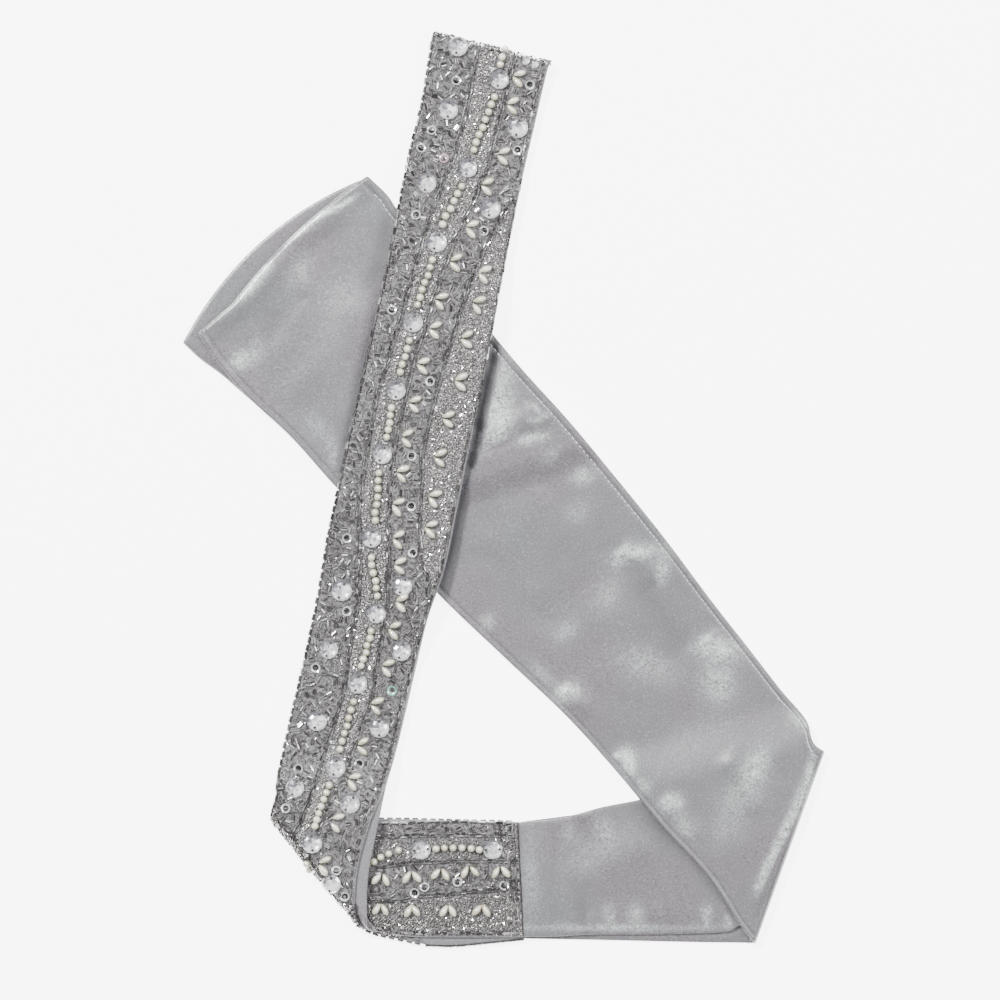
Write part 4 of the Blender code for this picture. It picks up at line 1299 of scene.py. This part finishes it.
class Beading:
    # the beads of one stretch of the band, sorted by kind, each kept clear of those before it
    def __init__(self, piece):
        self.piece, self.stretch = piece, piece["stretch"]
        self.width, self.length = self.stretch.width, self.stretch.length
        self.made = {kind: [] for kind in kinds + seedKinds}
        self.taken = []
        self.sewStones()
        self.sewPearls()
        for u, share in piece["pairs"]:
            self.sewPair(u, share * self.width)
        for u, share, kind in piece["cups"]:
            self.sewCup(u, share * self.width, cupShades[kind])
        self.sewRows()
        self.sewTubes()
        self.sewSeeds()
        # each band's seeds and tubes are scaled by its painted shade
        for kind in seedKinds + ("bugles",):
            for place in self.made[kind]:
                place["shade"] *= piece["paintedShadeFactor"]

    def sew(self, kind, u, v, out, **how):
        self.made[kind].append(placement(self.stretch, u, v, out, **how))

    def take(self, u, v, reach):
        self.taken.append((u, v, reach))

    def around(self, u):
        return [spot for spot in self.taken if abs(spot[0] - u) < sewn["around"]]

    def zones(self, u):
        return [share * self.width for share in zoneAt(self.piece["zones"], u)]

    def sewStones(self):
        size = sewn["stone"]
        for u, share in self.piece["stringStones"] + self.piece["loneStones"]:
            self.sew("stones", u, share * self.width, size["out"], turn=chance.uniform(-12.0, 12.0),
                     tilt=chance.uniform(-5, 5), roll=chance.uniform(-5, 5),
                     scale=chance.uniform(0.95, 1.04), shade=chance.random())
            self.take(u, share * self.width, size["reach"])
        size = sewn["smallStone"]
        for u, share in self.piece["smallStones"]:
            self.sew("stones", u, share * self.width, size["out"], scale=size["scale"],
                     turn=chance.uniform(0.0, 90.0))
            self.take(u, share * self.width, size["reach"])

    def pearlString(self):
        # pearls in a line from each stone of the string to the next
        size, stones, pearls = sewn["pearl"], self.piece["stringStones"], []
        for (u1, v1), (u2, v2) in zip(stones, stones[1:]):
            span = u2 - u1 - 2.0 * size["fromStone"]
            count = int(span / size["pitch"]) + 1
            for index in range(count):
                u = u1 + size["fromStone"] + span * (index + 0.5) / count
                v = (v1 + (v2 - v1) * smoothStep((u - u1) / (u2 - u1))) * self.width
                pearls.append((u + chance.uniform(-0.15, 0.15), v + chance.uniform(-0.35, 0.35)))
        return pearls

    def sewPearls(self):
        pearls = [(u, share * self.width) for u, share in self.piece["pearls"]]
        for u, v in pearls + self.pearlString():
            self.sew("pearls", u, v, sewn["pearl"]["out"], turn=chance.uniform(0, 90),
                     scale=chance.uniform(0.93, 1.05), shade=chance.random())
            self.take(u, v, sewn["pearl"]["reach"])

    def sewPair(self, u, v):
        # two drops that spread from almost one point, their points towards the first edge
        size = sewn["rice"]
        spreadAngle, lean = chance.uniform(29.0, 36.0), chance.uniform(-9.0, 9.0)
        for side in (-1, 1):
            turn = -90.0 + lean + side * spreadAngle
            alongU, alongV = math.cos(math.radians(turn)), math.sin(math.radians(turn))
            apexU, apexV = u - side * size["apexU"], v - size["apexV"]
            scale = chance.uniform(0.93, 1.06)
            pearlU, pearlV = apexU - alongU * size["half"], apexV - alongV * size["half"]
            self.sew("rice", pearlU, pearlV, size["out"], turn=turn, tilt=chance.uniform(-6, 6),
                     scale=scale, shade=chance.random())
            self.take(pearlU, pearlV, size["reach"])
            self.take(pearlU - alongU * size["tailShift"], pearlV - alongV * size["tailShift"],
                      size["tailReach"])

    def sewCup(self, u, v, shade):
        size = sewn["cup"]
        if isClear(self.taken, u, v, size["gap"]):
            self.sew("cups", u, v, size["out"], turn=chance.uniform(0, 90),
                     tilt=chance.uniform(-18, 18), roll=chance.uniform(-18, 18), shade=shade)
            self.sew("seeds", u, v, size["seedOut"], tilt=chance.uniform(-30, 30),
                     scale=size["seedScale"], shade=chance.choice((0.0, 0.05, 0.5)))
            self.take(u, v, size["reach"])

    def edgeRows(self):
        # place, turn, shade and size of the tubes along both edges
        rows = []
        for edge, pitch, scale in self.piece["edgeRows"]:
            u = 1.0
            while u < self.length - 1.0:
                shade = 0.75 if chance.random() < 0.15 else chance.uniform(0.0, 0.2)
                v = edge(u, self.width) + chance.uniform(-0.15, 0.15)
                rows.append((u, v, chance.uniform(-6, 6), shade, scale))
                u += pitch * chance.uniform(0.93, 1.07)
        return rows

    def zoneRows(self, index):
        # the same for the double row after one of the zones
        rows, size, lookAhead = [], sewn["row"], 2.0
        for side in (-size["half"], size["half"]):
            u = 1.0 + side
            while u < self.length - 1.0:
                share = zoneAt(self.piece["zones"], u)[index]
                ahead = zoneAt(self.piece["zones"], min(u + lookAhead, self.length))[index]
                v = share * self.width + side
                if 2.0 < v < self.width - 3.4:
                    turn = math.degrees(math.atan2((ahead - share) * self.width, lookAhead))
                    shade = chance.choice((0.0, 0.1, 0.2, 0.35, 0.65))
                    rows.append((u, v, turn + chance.uniform(-8, 8), shade, size["scale"]))
                u += size["pitch"] * chance.uniform(0.95, 1.12)
        return rows

    def sewRows(self):
        rows, size = self.edgeRows(), sewn["row"]
        for index in range(3):
            rows += self.zoneRows(index)
        for u, v, turn, shade, scale in rows:
            if isClear(self.around(u), u, v, size["gap"]):
                self.sew("bugles", u, v, size["out"], turn=turn, roll=chance.uniform(0, 60),
                         scale=scale, shade=shade)
        for u, v, turn, shade, scale in rows:
            self.take(u, v, size["reach"])

    def sewTubes(self):
        # short dark tubes in pairs, every way round, over the open cloth of the loop zones
        size, u, odd, fromRow = sewn["tube"], 2.0, False, 1.2
        while u < self.length - 1.5:
            v = 2.6 + (size["pitch"] / 2.0 if odd else 0.0)
            while v < self.width - 3.0:
                placeU, placeV = u + chance.uniform(-0.9, 0.9), v + chance.uniform(-0.8, 0.8)
                first, second, third = self.zones(placeU)
                loops = placeV < first - fromRow or second + fromRow < placeV < third - fromRow
                if loops and isClear(self.around(placeU), placeU, placeV, size["gap"]):
                    self.sewTubePair(placeU, placeV)
                v += size["pitch"]
            u += size["pitch"] * sewn["staggered"]
            odd = not odd

    def sewTubePair(self, u, v):
        size, turn = sewn["tube"], chance.uniform(0.0, 180.0)
        angle = math.radians(turn + 90.0)
        for side in ((-size["half"], size["half"]) if chance.random() < 0.62 else (0.0,)):
            self.sew("bugles", u + side * math.cos(angle), v + side * math.sin(angle), size["out"],
                     turn=turn + chance.uniform(-5, 5), roll=chance.uniform(0, 60),
                     scale=chance.uniform(0.9, 1.08),
                     shade=0.9 if chance.random() < 0.15 else chance.uniform(0.0, 0.5))
        self.take(u, v, size["reach"])

    def sewSeeds(self):
        # seeds, close together in the string's zone and the outer zone, loose between the tubes
        pitch, u, odd, topReach = sewn["seed"]["pitch"], 0.8, False, 12.0
        while u < self.length - 0.8:
            v = 1.2 + (pitch / 2.0 if odd else 0.0)
            near = self.around(u)
            while v < self.width - 1.3 or (u < topReach and v < self.width + 0.3):
                self.sewSeed(near, u + chance.uniform(-0.3, 0.3), v + chance.uniform(-0.3, 0.3))
                v += pitch
            u += pitch * sewn["staggered"]
            odd = not odd

    def sewSeed(self, near, u, v):
        size, fromRow = sewn["seed"], 1.1
        first, second, third = self.zones(u)
        x, y = self.stretch.plan(u, v / self.width)
        turned = max([fold.beyond(x, y) / fold.arc for fold in self.stretch.folds] or [-1.0])
        rolled = 0.12 < turned < 0.62
        inString = first + fromRow < v < second - fromRow
        dense = inString or v > third + fromRow or rolled
        loose = not dense and chance.random() < 0.55
        if turned > 0.75 or not (dense or loose) or not isClear(near, u, v, size["gap"]):
            return
        kind = "looseSeeds" if loose else "seeds" if v < second else "outerSeeds"
        scales, shades = (0.54, 0.74), (0.5 if inString else 0.35, 1.0)
        if rolled:
            scales, shades = (0.85, 1.05), (0.0, 0.3)
        elif loose:
            scales, shades = (0.5, 0.7), (0.0, 0.55)
        bright = not (loose or rolled) and chance.random() < 0.25
        out = size["out"] + chance.uniform(-0.2, 0.25) + (size["rollLift"] if rolled else 0.0)
        self.sew(kind, u, v, out, turn=chance.uniform(0, 180), tilt=chance.uniform(-65, 65),
                 roll=chance.uniform(-30, 30), scale=chance.uniform(*scales),
                 shade=0.95 if bright else chance.uniform(*shades))


longBeads, shortBeads = Beading(longBand).made, Beading(shortBand).made

# three rows of tubes close the band's end, across it
endRows = {"places": (72.8, 75.0, 77.4), "pitch": 2.35}
for rowU in endRows["places"]:
    v = 1.0
    while v < bandReturn.width - 1.0:
        shortBeads["bugles"].append(placement(
            bandReturn, rowU + chance.uniform(-0.2, 0.2), v, sewn["row"]["out"],
            turn=90.0 + chance.uniform(-7, 7), roll=chance.uniform(0, 60),
            shade=chance.choice((0.05, 0.1, 0.4, 0.8, 0.95))))
        v += endRows["pitch"] * chance.uniform(0.96, 1.06)

# dark tubes along the outline, where the band rolls under and on the lowest stretch
lowEnd = bandLow.length - 1.0
outline = {
    "pitch": 2.8,
    "rows": (
        {"stretch": bandFront, "v": bandFront.width + 0.3, "out": 1.0, "from": 364.0, "to": 393.5},
        {"stretch": bandLow, "v": bandLow.width + 0.3, "out": 2.3, "from": 1.5, "to": lowEnd},
        {"stretch": bandLow, "v": -0.2, "out": 1.5, "from": 1.5, "to": lowEnd},
    ),
}
for row in outline["rows"]:
    u = row["from"]
    while u < row["to"]:
        shortBeads["bugles"].append(placement(
            row["stretch"], u, row["v"], row["out"], turn=chance.uniform(-6, 6), scale=1.15,
            shade=chance.choice((0.0, 0.05, 0.2))))
        u += outline["pitch"] * chance.uniform(0.94, 1.06)

beads = {kind: longBeads[kind] + shortBeads[kind] for kind in kinds}
shortSeeds = [place for kind in seedKinds for place in shortBeads[kind]]
for name, chosen in (("seedBeads", longBeads["seeds"]),
                     ("seedBeadsOuter", longBeads["outerSeeds"]),
                     ("seedBeadsLoose", longBeads["looseSeeds"]),
                     ("seedBeadsShort", shortSeeds)):
    spread(name, seedModel, chosen, [seedGlass])
spread("bugleBeads", bugleModel, beads["bugles"], [bugleGlass])
spread("roundPearls", pearlModel, beads["pearls"], [ivoryPearl])
spread("ricePearls", riceModel, beads["rice"], [ivoryPearl])
spread("stones", stoneModel, beads["stones"], [clearStone, stoneHole],
               paintedFacetLight=paintedFacetLight)
for name, material, kind in (("sequins", sequinClear, "clear"),
                             ("sequinRose", sequinPink, "pink"),
                             ("sequinMint", sequinGreen, "green")):
    chosen = [place for place in beads["cups"] if place["shade"] == cupShades[kind]]
    spread(name, cupModel, chosen, [material, cupFoil])

# topstitching along the diagonal's upper edge
stitches, u = [], stitching["start"]
v = tailADiagonal.width - stitching["inset"]
while u < tailADiagonal.length - stitching["end"]:
    facing = tailADiagonal.facing(u, v / tailADiagonal.width)
    if facing > 0.3:
        x, y = tailADiagonal.point(u, v / tailADiagonal.width, stitching["face"])[:2]
        lift = diagonalRelief(x, y, u, v, stitching["inset"]) * facing
        stitches.append(placement(tailADiagonal, u, v, stitching["out"] + lift,
                                  turn=chance.uniform(-3, 3)))
    u += stitching["pitch"]
spread("topStitches", stitchModel, stitches, [satinThread])
print("beads placed")


# The floor, the lights and the camera
bpy.ops.mesh.primitive_plane_add(size=4.0, location=(0.0, 0.0, -0.0003))
floor = bpy.context.object
floor.name = "paleFloor"
paleFloor = Look("paleFloor", Base_Color=(0.93, 0.93, 0.93, 1.0), Roughness=0.8,
                 Emission_Color=(1.0, 1.0, 1.0, 1.0), Emission_Strength=5.5)
floor.data.materials.append(paleFloor.material)


def addLight(name, place, size, power, target=(0.0, 0.0, 0.0)):
    light = bpy.data.lights.new(name, "AREA")
    light.shape, light.size, light.energy = "SQUARE", size, power
    lamp = bpy.data.objects.new(name, light)
    lamp.location = place
    lamp.rotation_euler = (Vector(target) - Vector(place)).to_track_quat("-Z", "Y").to_euler()
    bpy.context.collection.objects.link(lamp)


addLight("windowLight", (-1.6, 1.6, 2.75), 0.5, 250.0)
addLight("softBox", (0.35, 0.7, 1.95), 1.1, 15.0)
addLight("sparkLight", (1.5, -1.4, 2.5), 0.5, 18.0)
addLight("fillLight", (2.0, 0.5, 2.3), 0.9, 44.0)

# the room is bright overhead and dark towards its walls, so round beads show their sides
world = bpy.data.worlds.new("paleRoom")
world.use_nodes = True
bpy.context.scene.world = world
room = Nodes(world.node_tree)
direction = room.node("ShaderNodeSeparateXYZ", {}, {"Vector": room.place("Generated")}, "Z")
strength = 0.08 + 0.85 * direction ** 2.0
background = world.node_tree.nodes["Background"]
background.inputs["Color"].default_value = (0.95, 0.96, 1.0, 1.0)
world.node_tree.links.new(strength.port, background.inputs["Strength"])

photo = {"middle": (-1.6, -5.2), "viewWidth": 430.0, "distance": 3000.0, "sensor": 36.0}
camera = bpy.data.cameras.new("camera")
camera.sensor_width = photo["sensor"]
camera.lens = photo["sensor"] * photo["distance"] / photo["viewWidth"]
camera.clip_end = 10.0
cameraObject = bpy.data.objects.new("camera", camera)
cameraObject.location = (photo["middle"][0] * mm, photo["middle"][1] * mm, photo["distance"] * mm)
bpy.context.collection.objects.link(cameraObject)
bpy.context.scene.camera = cameraObject
